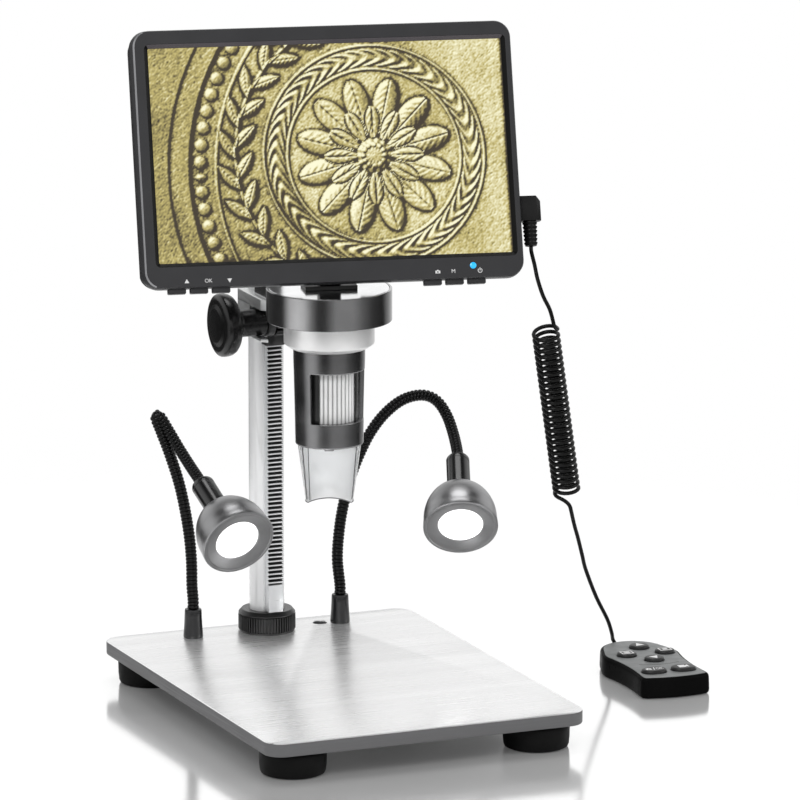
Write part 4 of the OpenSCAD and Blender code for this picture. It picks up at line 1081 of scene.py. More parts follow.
class MICROSCOPE_OT_stand(bpy.types.Operator):
    """Make the stage plate, feet, column, rack, collar and boots"""

    bl_idname = "microscope.stand"
    bl_label = "Stand"

    def execute(self, context):
        for make in (make_plate, make_feet, make_column, make_collar, make_rack, make_boots):
            make()
        for node in ("base_screws", "rack_screws"):
            edged(node, 0.15, node + "_black", "screw_black", "stand", "screw_steel")
        edged("lamp_socket", 0.4, "lamp_inlet", "socket_plastic", "stand", "remote_black")
        return {"FINISHED"}


# ------------------------------------------------------------------ camera head

KNOB_AXIS = (-29.4, 54.88, 139)
HOOD_TURN = math.radians(22.9)


def make_ring():
    """The black holder ring with bright edge chamfers, and its arm."""
    ring = lathe(((15.3, 150.2), (26.2, 150.2), (26.4, 150.4), (26.4, 163.6), (26.2, 163.8),
                  (25.4, 163.8), (25.4, 162.3), (15.3, 162.3)), 160)
    arm = plate([box(-10, 16, 10, 58.9)], 150.2, 157.5, 0.5)
    piece(joined(ring, arm), "holder_with_arm", "ring_black", "carriage", "black_anodised",
          "holder_ring")
    cap = lathe(((5.1, 162.35), (25.3, 162.35), (25.3, 163.55), (25.05, 163.8), (5.4, 163.8),
                 (5.1, 163.5)), 160)
    piece(cap, "bright_cap", "cap_steel", "carriage", "polished_steel", "head_cap")


def make_block():
    """The clamp on the column: chamfered corners, and an open pocket for the pinion's bearing."""
    half, front, back = 11.5, 45.88, 81.5
    gap, rack_gap, pocket, bore_r = 3.8, 3.6, 60.6, 7.56
    meet = math.degrees(math.acos(rack_gap / bore_r))
    bore = arc((0, COLUMN_Y), bore_r, -meet, 180 + meet, 60)
    rear = [(-half, back - 7), (-half + 7, back), (half - 7, back), (half, back - 7)]
    right = [(half, front + 2.4), (half - 2.4, front)]
    behind = rear + right + [(7.2, front), (6.6, front + 0.3), (gap, 52), (gap, 60), (rack_gap, 60)]
    lip = [(-8.9, pocket), (-8.9, front + 0.3), (-9.1, front), (-half, front + 2.4)]
    low = bore + [(-rack_gap, pocket)] + lip + behind
    middle = bore + [(-rack_gap, pocket), (-half, pocket)] + behind
    body = [(-half, front + 2.4), (-half + 2.4, front)] + right[::-1] + rear[::-1]
    slot = bore + [(-rack_gap, 59.8), (rack_gap, 59.8)]
    block = joined(plate([low], 131.7, 133.2, 0.3), plate([middle], 132.6, 146.2, 0.3),
                   plate([body, slot], 145.3, 150.2, 0.3))
    piece(block, "grey_block", "block_aluminium", "carriage", "grey_aluminium", "carriage_block")
    bearing = lathe(((0, 0), (6.1, 0), (6.6, 0.4), (6.65, 0.8), (6.65, 2.9), (6.3, 3.3), (0, 3.5)),
                    96, at(-7.4, *KNOB_AXIS[1:]) @ spin(90, "Y"))
    piece(bearing, "pinion_bearing", "pinion_black", "carriage", "black_anodised")
    wiper = [(3.5, 64.4), (3.5, 60.1), (-3.5, 60.1), (-3.5, 64.4), (-4.7, 64.4), (-4.7, 60.2),
             (-4.2, 59.2), (-3.2, 58.7), (2.9, 58.7), (3.8, 59.2), (4.3, 60.2), (4.3, 64.4)]
    piece(plate([wiper], 127.2, 131.8, 0.3), "rack_wiper", "pinion_black", "carriage",
          "black_rubber")


def make_nut():
    nut = lathe(((15.2, 138.5), (16.3, 138.55), (18.3, 139.9), (18.95, 140.4), (19.05, 140.8),
                 (19.05, 150), (18.9, 150.15), (15.2, 150.2)), 160)
    piece(nut, "silver_lock_nut", "nut_aluminium", "carriage", "nut_silver", "lock_nut")


# the window's two sides in degrees, the columns of faces across it and round the rest, its height
WINDOW = (-145, -14)
WINDOW_COLUMNS, WALL_COLUMNS = 29, 61
WINDOW_Z = (107.8, 129.3)
BARREL_ROWS = [(13.8, 97.3), (14.15, 97.38), (14.28, 97.6), (14.29, 98), (14.34, 100.5),
               (14.4, 104), (14.44, 107.2), (14.45, 107.8), (14.47, 108.4), (14.6, 115),
               (14.78, 122), (14.93, 128.7), (14.95, 129.3), (14.97, 129.9), (15.1, 134),
               (15.1, 139.2), (15.1, 162)]
BARREL_WALL = 2.1
# the opening of the painted shade sleeve, in degrees
SHADE_SLEEVE_OPENING = (-133, -50)


def walled(bm, thickness, bevel=0.0):
    """A surface given a wall inwards, with its sharp edges rounded."""
    shell = take(bm, "shell", angle=40)
    wall = shell.modifiers.new("wall", "SOLIDIFY")
    wall.thickness = thickness * MM
    wall.offset = -1
    if bevel:
        edge = shell.modifiers.new("edge", "BEVEL")
        edge.width = bevel * MM
        edge.segments = 2
        edge.limit_method = "ANGLE"
        edge.angle_limit = math.radians(50)
    return baked(shell)


def make_barrel():
    """The tapered shell with its window, the seat above the window and a small lock tab."""
    low, high = WINDOW
    around = arc((0, 0), 1, low, high, WINDOW_COLUMNS)
    around += arc((0, 0), 1, high, low + 360, WALL_COLUMNS)[1:-1]
    shell = skin([[(r * x, r * y, z) for x, y in around] for r, z in BARREL_ROWS],
                 opening=lambda row, column: column < WINDOW_COLUMNS
                 and WINDOW_Z[0] <= BARREL_ROWS[row][1] < WINDOW_Z[1])
    seat = lathe(box(6.2, 130.3, 13.2, 161), 64)
    sill = lathe(((12.7, 102.7), (13, 102.7), (13, 106.7), (6.2, 106.7), (6.2, 104.3),
                  (12.7, 104.3)), 64)
    tab = plate([rounded(4, 1.6, 0.6, (0, -13.3), 3)], 96.7, 98.6, 0.25,
                Matrix.Rotation(-HOOD_TURN, 4, "Z"))
    piece(joined(walled(shell, BARREL_WALL, 0.22), seat, sill, tab), "focus_barrel",
          "barrel_lacquer", "carriage", "barrel_black", "barrel", angle=40)
    # a dark sleeve inside the shell, put there as painted shade, leaves a narrower opening before the wheel and
    # darkens the window's two ends
    start, end = SHADE_SLEEVE_OPENING
    wrap = band((0, 0), 12.35, 0.4, end, start + 360, 90)
    piece(plate([wrap], 107, 130, 0.08, steps=1), "inner_sleeve", "knob_plastic", "carriage",
          "barrel_black", angle=40)


HOOD_ROWS = 14
HOOD_COLUMNS = 96
HOOD_LOW, HOOD_TOP = 72.4, 98.2
HOOD_SEAT = ((12.6, 98.25), (12.6, 102.4))
HOOD_ARCH, HOOD_ARCH_R = 3.4, 13.61
HOOD_WALL = 1.1
# painted reflection: grey lines down the hood's wall where its clear edges are seen; how far each stands to the side
# at its top and its foot, its width
HOOD_LINES = ((-11.2, -9.4, 0.3), (-8.8, -8.1, 0.2), (11.4, 9.4, 0.26))


def hood_point(turn, z, out=0.0):
    r = 10 + 3.5 * (z - HOOD_LOW) / (HOOD_TOP - HOOD_LOW) + out
    return r * math.cos(turn), r * math.sin(turn), z


def hood_rise(turn):
    """How far the rim's arch lifts it."""
    rim_x = 10 * math.cos(turn + HOOD_TURN)
    return max(0, HOOD_ARCH - HOOD_ARCH_R + math.sqrt(HOOD_ARCH_R ** 2 - rim_x ** 2))


def make_hood():
    """A clear cup with an arch in front and behind. The underside of its rim is tinted dark, painted shade that makes
    the rim look thickened.
    """
    turns = [2 * math.pi * k / HOOD_COLUMNS for k in range(HOOD_COLUMNS)]
    rows = [[hood_point(a, (HOOD_LOW + hood_rise(a)) * (1 - share) + HOOD_TOP * share)
             for a in turns] for share in (i / HOOD_ROWS for i in range(HOOD_ROWS + 1))]
    rows += [circle(r, z, HOOD_COLUMNS) for r, z in HOOD_SEAT]
    rim = (HOOD_LOW + HOOD_ARCH + 0.3) * MM
    piece(placed(walled(skin(rows), HOOD_WALL)), "clear_cup", "hood_clear", "carriage",
          "clear_plastic", "clear_hood", angle=40, regions=[
              ("hood_satin", lambda face: face.center.z < 98 * MM and abs(face.normal.z) < 0.5
               and face.normal.xy.dot(face.center.xy) < 0),
              ("hood_rim", lambda face: face.center.z < rim and face.normal.z < -0.6)])


def make_painted_hood_edges():
    """Grey lines painted on the hood where its clear edges are seen, a painted reflection: round its rim, and three
    down its wall.
    """
    def line(spots, width):
        return tube([Vector(hood_point(a, z, 0.05)) * MM for a, z in spots], width * MM, 8)

    turns = [2 * math.pi * k / HOOD_COLUMNS for k in range(HOOD_COLUMNS + 1)]
    parts = [line([(a, HOOD_LOW + 0.1 + hood_rise(a)) for a in turns], 0.22)]
    for top, low, width in HOOD_LINES:
        spots = []
        for i in range(13):
            z = HOOD_LOW + 1.5 + (HOOD_TOP - HOOD_LOW - 2.5) * i / 12
            share = (low + (top - low) * i / 12) / hood_point(0, z)[0]
            spots.append((math.asin(max(-0.98, min(0.98, share))) - math.pi / 2 - HOOD_TURN, z))
        parts.append(line(spots, width))
    piece(joined(*parts), "hood_lines", "hood_line", "carriage", "clear_plastic")


def make_led_ring():
    """A round board whose lamps look down into the hood."""
    piece(lathe(box(6.6, 102.6, 12.6, 104.2), 64), "lamp_board", "circuit_green",
          "carriage", "circuit_green", "led_board")
    lamp = lathe(((0, 101.6), (0.9, 101.7), (1.35, 102), (1.5, 102.7), (0, 102.7)), 20, at(9, 0, 0))
    piece(copies(lamp, "lamp_glow", 8, turn=math.pi / 4), "ring_of_lamps", "lamp_glow",
          "carriage", "lamp_white")


class MICROSCOPE_OT_head(bpy.types.Operator):
    """Make the carriage block, holder ring, lock nut, barrel, clear hood and ring of lamps"""

    bl_idname = "microscope.head"
    bl_label = "Camera head"

    def execute(self, context):
        for make in (make_ring, make_nut, make_barrel, make_hood, make_painted_hood_edges,
                     make_led_ring, make_block):
            make()
        for node in ("arm_screws", "brake_screw"):
            edged(node, 0.2, node + "_black", "screw_black", "carriage", "screw_steel")
        paint(frame["nodes"]["sensor_board"].data, "circuit_green")
        return {"FINISHED"}


# ------------------------------------------------------------------ drives

KNOB_PROFILE = (
    (0, -0.3), (7.0, -0.3), (7.4, -0.22), (9.0, 0.42), (9.3, 0.48), (10.8, 0.42), (11.2, 0.5),
    (12.6, 1.1), (13.1, 1.5), (13.4, 2.1), (13.45, 3), (13.4, 4.6), (13.1, 5.8), (12.4, 7),
    (11.3, 7.9), (9.8, 8.6), (8.2, 9.1), (6.8, 9.5), (6.1, 10), (5.8, 10.7), (5.75, 11.4),
    (5.75, 21.5), (5.5, 21.8), (0, 21.8))
WHEEL_LOW, WHEEL_HIGH, WHEEL_R, WHEEL_RIBS = 107.1, 129.9, 10.85, 36


def make_wheel():
    low, high = WHEEL_LOW, WHEEL_HIGH
    core = lathe(((6.1, low), (10.6, low), (WHEEL_R, low + 0.3), (WHEEL_R, high - 0.3),
                  (10.6, high), (6.1, high)), 96)
    rib = plate([disc((0, 0), 0.68, 12)], low + 0.5, high - 0.5, 0.15, at(WHEEL_R, 0, 0), 1)
    ribs = copies(rib, "wheel_plastic", WHEEL_RIBS, turn=2 * math.pi / WHEEL_RIBS)
    # the core's face between the ribs takes a darker grey: painted shade in the grooves
    piece(joined(core, ribs), "ribbed_wheel", "wheel_plastic", "focus_ring", "wheel_grey",
          "focus_wheel", regions=[
              ("wheel_groove", lambda face: abs(face.normal.z) < 0.5
               and face.center.xy.length < (WHEEL_R + 0.1) * MM)])


class MICROSCOPE_OT_drives(bpy.types.Operator):
    """Make the dished knob, the pinion, the ribbed focus wheel and the lens"""

    bl_idname = "microscope.drives"
    bl_label = "Knob and focus wheel"

    def execute(self, context):
        piece(lathe(KNOB_PROFILE, 128, at(*KNOB_AXIS) @ spin(90, "Y")), "dished_knob",
              "knob_plastic", "knob", "knob_black", "focus_knob")
        edged("pinion_shaft", 0, "pinion_steel", "pinion_black", "knob", "rack_steel", 25)
        make_wheel()
        edged("lens_cell", 0, "lens_tube", "barrel_lacquer", "lens", "barrel_black", 25)
        edged("lens_glass", 0, "lens", "lens_clear", "lens", "lens_glass", 25)
        return {"FINISHED"}


# ------------------------------------------------------------------ screen

FACE_Y = -12
# left, right, bottom and top of the screen's frame and of the lit picture, in its own x and z
FRAME_BOX = (-80.5, 80.5, -12.3, 96.5)
PICTURE_BOX = (-73.1, 76.3, -1.7, 88.9)
LIP = 1.7
SCREEN_KEYS = ("up", "ok", "down", "home", "menu", "power")


def screen_loop(sides, inset, y, radius=7.0):
    """An upright rounded rectangle of the screen; a negative inset makes it larger."""
    left, right, low, high = sides
    outline = rounded(right - left - 2 * inset, high - low - 2 * inset, max(0.15, radius - inset),
                      ((left + right) / 2, (low + high) / 2))
    return [(x, y, z) for x, z in outline]


def make_bezel():
    """Front frame with a lip round the picture. Its left chamfer alone takes a brighter, half metal finish: a painted
    highlight. The lip's downward slope is painted lighter, painted light, and the rest of the lip is a dark slope of
    painted shade.
    """
    left, right, low, high = FRAME_BOX
    outer = [screen_loop((left + shift, right, low, high), inset, y) for inset, y, shift in
             ((0, -7, 0), (0, -9.6, 0), (0.12, -11.3, 1.0), (0.5, FACE_Y, 1.3))]
    inner = [screen_loop(PICTURE_BOX, inset, y, 0.6) for inset, y in
             ((-LIP, FACE_Y), (0.1 - LIP, FACE_Y + 0.05), (-0.1, -10.75), (0, -10.65), (0, -7))]

    def slanted(face):
        return 0.3 < -face.normal.y < 0.95

    def in_lip(face):
        left, right, low, high = (c * MM for c in PICTURE_BOX)
        edge = (LIP + 0.05) * MM
        return (left - edge < face.center.x < right + edge
                and low - edge < face.center.z < high + edge)

    def lit_lip(face):
        return in_lip(face) and slanted(face) and face.normal.z < -0.5

    obj = take(loft(outer + inner, ring=True), "bezel", "frame_plastic", 25)
    # the left chamfer alone takes a brighter, half metal finish: painted highlight
    second_finish(obj, "frame_edge", lambda face: slanted(face) and not in_lip(face)
                  and face.center.y < -11.3 * MM and face.normal.x < -0.3)
    # the lip's downward slope takes a lighter grey, painted light, and the rest of the lip a darker black, painted
    # shade
    second_finish(obj, "lip_grey", lit_lip)
    second_finish(obj, "lip_black", lambda face: in_lip(face) and face.normal.y > -0.95
                  and not lit_lip(face))
    obj.data.transform(ON_SCREEN)
    settle(obj, "screen", "frame_black", "front_frame")


def make_screen_keys():
    """Six bars under the frame, each with rounded edges, and the blue light."""
    for name in SCREEN_KEYS:
        edged("screen_key_" + name, 0.5, "bar_key_" + name, "frame_plastic",
              "screen_key_" + name, "frame_black", segments=3)
    blue = lathe(((0, -0.15), (1.2, -0.1), (1.5, 0.1), (1.55, 2), (0, 2)), 40,
                 ON_SCREEN @ at(58.7, FACE_Y, -7) @ spin(-90, "X"))
    piece(blue, "blue_light", "status_blue", "screen", "led_blue", "status_led")


ICON_Z = -9.2


def triangle(x, z, size, turn):
    return arc((x, z), size, turn, turn + 360, 3)[:-1]


def printed(outlines, matrix):
    """Thin printed marks; a later outline inside one is a hole."""
    return plate(outlines, 0, sizes().icon_height / MM, 0, matrix)


def word(text, x, z, size, matrix):
    """A printed word such as OK, centred on x."""
    curve = bpy.data.curves.new("word", "FONT")
    curve.body = text
    curve.size = size * MM
    curve.align_x = curve.align_y = "CENTER"
    curve.extrude = sizes().icon_height / 2
    curve.offset = 0.0008 * size * MM
    return flat_mesh(curve, 1e-7, matrix @ at(x, z, sizes().icon_height / 2 / MM))


def scaled(points, x, z, s):
    return [(x + px * s, z + pz * s) for px, pz in points]


def camera_mark(x, z, s):
    """A still camera: a body with a hump, and a round hole for its lens."""
    body = ((-1.1, -0.7), (1.1, -0.7), (1.1, 0.5), (0.5, 0.5), (0.3, 0.85), (-0.3, 0.85),
            (-0.5, 0.5), (-1.1, 0.5))
    return [scaled(body, x, z, s), disc((x, z - 0.1 * s), 0.36 * s, 16)]


def film_mark(s):
    """A film camera: a box with a tapered lens hood."""
    body = ((-1.4, -0.7), (0.5, -0.7), (0.5, -0.25), (1.4, -0.65), (1.4, 0.65), (0.5, 0.25),
            (0.5, 0.7), (-1.4, 0.7))
    return [scaled(body, 0, 0, s)]


def make_screen_icons():
    # the last matrix lays a flat outline upright on the screen's face
    face = ON_SCREEN @ at(0, FACE_Y, 0) @ Matrix(((1, 0, 0), (0, 0, -1), (0, 1, 0))).to_4x4()
    parts = [
        printed([triangle(-62.2, ICON_Z - 0.5, 1.15, 90)], face),
        word("OK", -53.1, ICON_Z - 0.4, 2.2, face),
        printed([triangle(-44.2, ICON_Z - 0.3, 1.15, -90)], face),
        printed(camera_mark(43.6, ICON_Z, 0.95), face),
        word("M", 50.2, ICON_Z, 2.3, face),
        printed([band((61.5, ICON_Z), 1.0, 0.28, 125, 415, 20)], face),
        printed([box(61.35, ICON_Z, 61.65, ICON_Z + 1.25)], face)]
    # the marks glow faintly: painted light
    piece(joined(*parts), "screen_marks", "icon_white", "screen", "frame_black")


# The picture: an ornamental relief in gold, as a coin's field looks under the lens
RIM_CENTRE, RIM_R = (46.0, 34.0), 104.0
BEAD_TURN, BEAD_R = 4.2, 2.9
ROSETTE = (20.0, 41.0)
# petals of a row, reach, inner end, height and turn by shares of a petal
PETAL_ROWS = ((12, 33.0, 9.0, 2.6, 0.0), (12, 21.0, 5.5, 2.2, 0.5))
# of the two sprays: turn of the first leaf, distance from the rosette, lean
SPRAYS = ((118, 56.5 - 1.4, 56), (122, 56.5 + 5.4, 124))


def step(value, edge, soft):
    t = np.clip((value - edge) / soft + 0.5, 0, 1)
    return t * t * (3 - 2 * t)


def dome(distance, radius):
    return np.sqrt(np.clip(1 - (distance / radius) ** 2, 0, 1))


def stripe(distance, soft):
    return 1 - step(np.abs(distance), soft, soft)


def polar(x, z, centre):
    return np.hypot(x - centre[0], z - centre[1]), np.arctan2(z - centre[1], x - centre[0])


def spaced(around, degrees):
    """Distance from the nearest of the marks that stand degrees apart, as a share of that."""
    return (np.degrees(around) / degrees + 0.5) % 1 - 0.5


def picture_height(x, z):
    """Height of the relief at points of the picture, in millimetres of the picture."""
    height = np.zeros_like(x)
    # a raised rim with beads, seen as a wide arc on the left
    away, around = polar(x, z, RIM_CENTRE)
    height += 2.2 * step(away, RIM_R, 1.6) + 0.9 * step(away, RIM_R + 9, 1.2)
    bead = spaced(around, BEAD_TURN) * math.radians(BEAD_TURN) * (RIM_R - 4.5)
    height += 1.5 * dome(np.hypot(bead, away - (RIM_R - 4.5)), BEAD_R)
    height += 0.8 * stripe(away - (RIM_R - 11), 0.7)
    # a rosette of two rows of petals
    away, around = polar(x, z, ROSETTE)
    for petals, reach, inner, lift, turn in PETAL_ROWS:
        share = ((around / (2 * math.pi) * petals + turn) % 1) - 0.5
        along = np.clip((away - inner) / (reach - inner), 0, 1)
        width = 0.47 * np.sqrt(np.clip(np.sin(math.pi * np.clip(along, 0.02, 0.98) ** 0.8), 0, 1))
        leaf = dome(share, np.maximum(width, 1e-3)) * (away > inner) * (away < reach)
        rib = 0.5 * np.exp(-(share * away / 0.55) ** 2) * leaf
        vein = 0.10 * np.sin(away * 2.3 + np.abs(share) * 26) * leaf
        petal = np.maximum(height, 0) * 0.2 + lift * leaf ** 0.8 - rib + vein
        height = np.where(leaf > 0.02, petal, height)
    heart = 3.2 * dome(away, 8.2) + 0.35 * np.cos(around * 14) * (away / 7.5) ** 2
    height = np.where(away < 7.5, heart, height)
    seed = spaced(around, 30) * math.radians(30) * 4.6
    height += 0.8 * dome(np.hypot(seed, away - 4.6), 1.1)
    # a ring of engine-turned waves between rosette and rim
    across = np.clip((away - 38) / 7, 0, 1)
    ring = step(away, 38, 1.0) * (1 - step(away, 45, 1.0))
    height += ring * (0.55 + 0.45 * np.sin(around * 44 + 7 * np.sin(across * math.pi)))
    height += 0.9 * stripe(away - 36.6, 0.6) + 0.9 * stripe(away - 46.6, 0.6)
    # two sprays of leaves that sweep round the rosette
    for first, reach, lean_by in SPRAYS:
        for k in range(11):
            angle = math.radians(first + 13 * k)
            lean = angle + math.radians(lean_by)
            dx = x - ROSETTE[0] - reach * math.cos(angle)
            dz = z - ROSETTE[1] - reach * math.sin(angle)
            u = dx * math.cos(lean) + dz * math.sin(lean)
            v = -dx * math.sin(lean) + dz * math.cos(lean)
            shape = np.clip(1 - (u / 7.2) ** 2, 0, 1)
            leaf = dome(v, np.maximum(2.7 * shape, 1e-3)) * (shape > 0)
            vein = 0.35 * np.exp(-(v / 0.35) ** 2) + 0.10 * np.sin((u - np.abs(v)) * 3.4)
            height = np.where(leaf > 0.02, 0.5 + 1.9 * leaf - vein * leaf, height)
    turned_by = np.degrees(around) % 360
    return height + 0.9 * dome(away - 58.5, 0.9) * ((turned_by > 112) & (turned_by < 262))


def wavy(x, z, scale, seed):
    """Smooth uneven field from a few sine waves."""
    rng = np.random.default_rng(seed)
    field = np.zeros_like(x)
    for _ in range(9):
        a, b, c = rng.normal(size=3)
        field += np.sin((a * x + b * z) / scale + 9 * c)
    return field / 9


def picture_colours(x, z):
    """Gold lit from the upper left, with dark creases and a worn, granular field."""
    grain = np.random.default_rng(7).normal(size=x.shape)
    grain = (grain + np.roll(grain, 1, 0) + np.roll(grain, 1, 1)
             + np.roll(grain, (1, 1), (0, 1))) / 2
    height = picture_height(x, z)
    height = height + 0.14 * wavy(x, z, 1.6, 3) + 0.25 * wavy(x, z, 6.5, 5) + 0.035 * grain
    gz, gx = np.gradient(height, x[0, 1] - x[0, 0])
    norm = np.sqrt(gx ** 2 + gz ** 2 + 1)
    light = (-gx * -0.52 + -gz * 0.60 + 0.61) / norm
    glint = np.clip((-gx * -0.30 + -gz * 0.38 + 0.87) / norm, 0, 1) ** 24
    soft = height.copy()
    for _ in range(14):
        soft = (soft + np.roll(soft, 1, 0) + np.roll(soft, -1, 0) + np.roll(soft, 1, 1)
                + np.roll(soft, -1, 1)) / 5
    crease = np.clip((soft - height) * 1.5, 0, 1)
    steep = np.clip((np.sqrt(gx ** 2 + gz ** 2) - 0.55) / 1.6, 0, 1)
    tone = 0.52 + 1.15 * (light - 0.61) + 0.45 * glint - 0.85 * crease - 0.34 * steep
    tone += 0.22 * wavy(x, z, 12, 11) + 0.16 * wavy(x, z, 3.2, 23) + 0.05 * grain
    tone += 0.16 * np.clip((x + 15) / 90, -0.8, 1)
    tone = np.clip(tone, 0, 1)[..., None]
    dark, mid, bright = (np.array(tint("gold_" + name)) for name in ("dark", "mid", "light"))
    low = dark + (mid - dark) * np.clip(tone / 0.5, 0, 1) ** 1.3
    return np.where(tone < 0.5, low, mid + (bright - mid) * np.clip((tone - 0.5) / 0.42, 0, 1))


PANEL_FRONT, PANEL_BACK = -10.4, -7.4
PANEL_BOX = box(-78.0, -3.5, 78.0, 91.5)


def make_picture():
    """The panel's front carries the picture as colours of a fine mesh; its sides are plain."""
    columns = sizes().picture_columns
    left, right, low, high = PICTURE_BOX
    rows = int(columns * (high - low) / (right - left))
    x, z = np.meshgrid(np.linspace(left - 0.3, right + 0.3, columns),
                       np.linspace(low - 0.3, high + 0.3, rows))
    verts = np.stack([x, np.full_like(x, PANEL_FRONT), z], -1).reshape(-1, 3)
    cell = np.arange(rows - 1)[:, None] * columns + np.arange(columns - 1)[None]
    polygons = np.stack([cell, cell + 1, cell + columns + 1, cell + columns], -1)
    polygons = polygons.reshape(-1, 4).tolist()
    back = len(verts)
    corners = [(px, y, pz) for y in (PANEL_FRONT, PANEL_BACK) for px, pz in PANEL_BOX]
    rim = [range(columns), range(columns - 1, rows * columns, columns),
           range(rows * columns - 1, (rows - 1) * columns - 1, -1),
           range((rows - 1) * columns, -1, -columns)]
    for k, side in enumerate(rim):
        n = (k + 1) % 4
        polygons.append([back + k, back + n, *reversed(side)])
        polygons.append([back + 4 + k, back + 4 + n, back + n, back + k])
    polygons.append([back + 7, back + 6, back + 5, back + 4])
    mesh = bpy.data.meshes.new("lit_picture")
    mesh.from_pydata((np.concatenate([verts, np.array(corners)]) * MM).tolist(), [], polygons)
    shades = np.ones((len(mesh.vertices), 4), np.float32)
    shades[:, :3] = 0.01
    shades[:back, :3] = picture_colours(x, z).reshape(-1, 3)
    mesh.color_attributes.new("relief", "FLOAT_COLOR", "POINT").data.foreach_set(
        "color", shades.ravel())
    mesh.transform(ON_SCREEN)
    mesh.update()
    paint(mesh, "lit_picture")
    mesh.shade_smooth()
    mesh.set_sharp_from_angle(angle=math.radians(30))
    settle(new_object("lit_picture", mesh), "screen", "picture_glass", "lcd_panel")


class MICROSCOPE_OT_screen(bpy.types.Operator):
    """Make the screen's frame, housing, picture, keys, marks, blue light and swivel neck"""

    bl_idname = "microscope.screen"
    bl_label = "Screen"

    def execute(self, context):
        make_bezel()
        edged("rear_housing", 0.5, "back_housing", "housing_plastic", "screen", "housing_black",
              35, sharp=35)
        make_screen_keys()
        make_screen_icons()
        make_picture()
        edged("swivel_neck", 0.4, "neck_black", "hinge_paint", "swivel", "hinge_black")
        edged("hinge_pin", 0.3, "pin_black", "screw_black", "screen", "screw_steel")
        edged("housing_screws", 0.2, "back_screws", "screw_black", "screen", "screw_steel")
        paint(frame["nodes"]["main_board"].data, "circuit_green")
        paint(frame["nodes"]["battery"].data, "battery_foil")
        return {"FINISHED"}


# ------------------------------------------------------------------ lamps

# neck: the head's place; aim: where it looks; bend: where along Y the hose bends
LAMPS = {
    "left": {
        "neck": Vector((-39.2, 50, 74.2)), "aim": Vector((0.05, -0.9, -0.43)).normalized(),
        "route": [(-34, 71, 8.5), (-34, 71, 12.5), (-34, 71, 16.5), (-34.5, 71, 22.8),
                  (-34.7, 71, 34.2), (-36, 71.2, 48), (-39.2, 71.8, 65.6), (-43.4, 72.6, 80),
                  (-47.2, 73.2, 90.6), (-49.6, 73.4, 97.2), (-47.8, 73, 97.4), (-44.7, 70.8, 91.4),
                  (-42, 65.5, 84.4), (-40.2, 58.6, 78.8)],
        "bend": (70.9, 58.6)},
    "right": {
        "neck": Vector((80, 50, 75)), "aim": Vector((-0.3, -0.78, -0.55)).normalized(),
        "route": [(34, 71, 8.5), (34, 71, 12.5), (34, 71, 16.5), (32.8, 71, 28), (33.6, 71, 39.8),
                  (35.5, 71, 51.1), (39.1, 71.5, 63), (43.4, 72, 72.7), (48.9, 72.6, 82),
                  (56, 73.4, 89.6), (64.6, 74.2, 94.8), (73.4, 74, 96.2), (79.4, 72, 93.8),
                  (82.4, 67.5, 88), (82.4, 60, 81)],
        "bend": (70.9, 60)},
}
FINISHES.update({"lamp_" + side: (turned, "lamp", 0.33, 1.0, 0.12, lamp["neck"] * MM, lamp["aim"])
                 for side, lamp in LAMPS.items()})
HOSE_R = 2.05
HOSE_RIB = ((1.9, -0.78), (2.2, -0.72), (2.42, -0.45), (2.5, -0.1), (2.5, 0.1), (2.42, 0.45),
            (2.2, 0.72), (1.9, 0.78))
NECK_START, NECK_END, NECK_R = 3.6, 21.3, 5.0
CUP_R, CUP_MIDDLE, CUP_DEPTH = 15.7, 39, 18.2


def cup_profile():
    """Half outline of a lamp head along its aim: radius, and distance from the neck's place."""
    top, r = NECK_START, NECK_R
    dome_points = []
    for i in range(29):
        a = math.radians(74 - 74 * i / 28)
        dome_points.append((CUP_R * math.cos(a) ** 0.92, CUP_MIDDLE - CUP_DEPTH * math.sin(a)))
    return ([(0, top), (r - 0.9, top), (r - 0.3, top + 0.2), (r, top + 0.8), (r, top + 2.4),
             (r - 0.15, top + 2.55), (r - 0.15, top + 2.9), (r, top + 3.05), (r, NECK_END - 0.2)]
            + [p for p in dome_points if p[0] > r + 0.25]
            + [(15.85, 40.6), (15.95, 41.8), (16, 43.3), (15.85, 43.75), (15.4, 44), (14.9, 44),
               (14.6, 43.75), (14.3, 43.8), (13.9, 43.75), (9.9, 42.6), (9.6, 42.3), (9.6, 40.7),
               (0, 40.7)])


def make_gooseneck(side, lamp):
    """A wound steel hose: ribs along a core, which bends from the stand to the lamp."""
    route = lamp["route"] + [tuple(lamp["neck"] + lamp["aim"] * reach)
                             for reach in (-0.4, NECK_START + 0.2)]
    hose = smooth_line(route, 6)
    ribs = ribs_along(hose, lathe(HOSE_RIB, 22), sizes().rib_pitch, "gooseneck_steel")
    obj = take(joined(tube(hose, HOSE_R * MM, 14), ribs), side + "_hose", "gooseneck_steel", 50)
    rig.slot(obj, "gooseneck_black")
    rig.replaces(obj, side + "_gooseneck")
    start, end = ((0, y * MM, 0.09) for y in lamp["bend"])
    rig.blend(obj, side + "_arm", side + "_lamp", start=start, end=end)


def make_lamp_head(side, lamp):
    turn = lamp["aim"].to_track_quat("Z", "Y").to_matrix().to_4x4()
    place = at(*lamp["neck"]) @ turn
    neck = lamp["neck"] * MM
    piece(lathe(cup_profile(), 128, place), side + "_lamp_cup", "lamp_" + side, side + "_lamp",
          "lamp_metal", side + "_lamp_head", angle=28, regions=[
              ("neck_metal", lambda face: (face.center - neck).dot(lamp["aim"]) < NECK_END * MM)])
    lit_disc = lathe(((0, 40.75), (9.5, 40.75), (9.5, 42.2), (9.2, 42.5), (0, 42.6)), 96, place)
    piece(lit_disc, side + "_lit_disc", "lamp_glow", side + "_lamp", "lamp_white",
          side + "_lamp_lens")


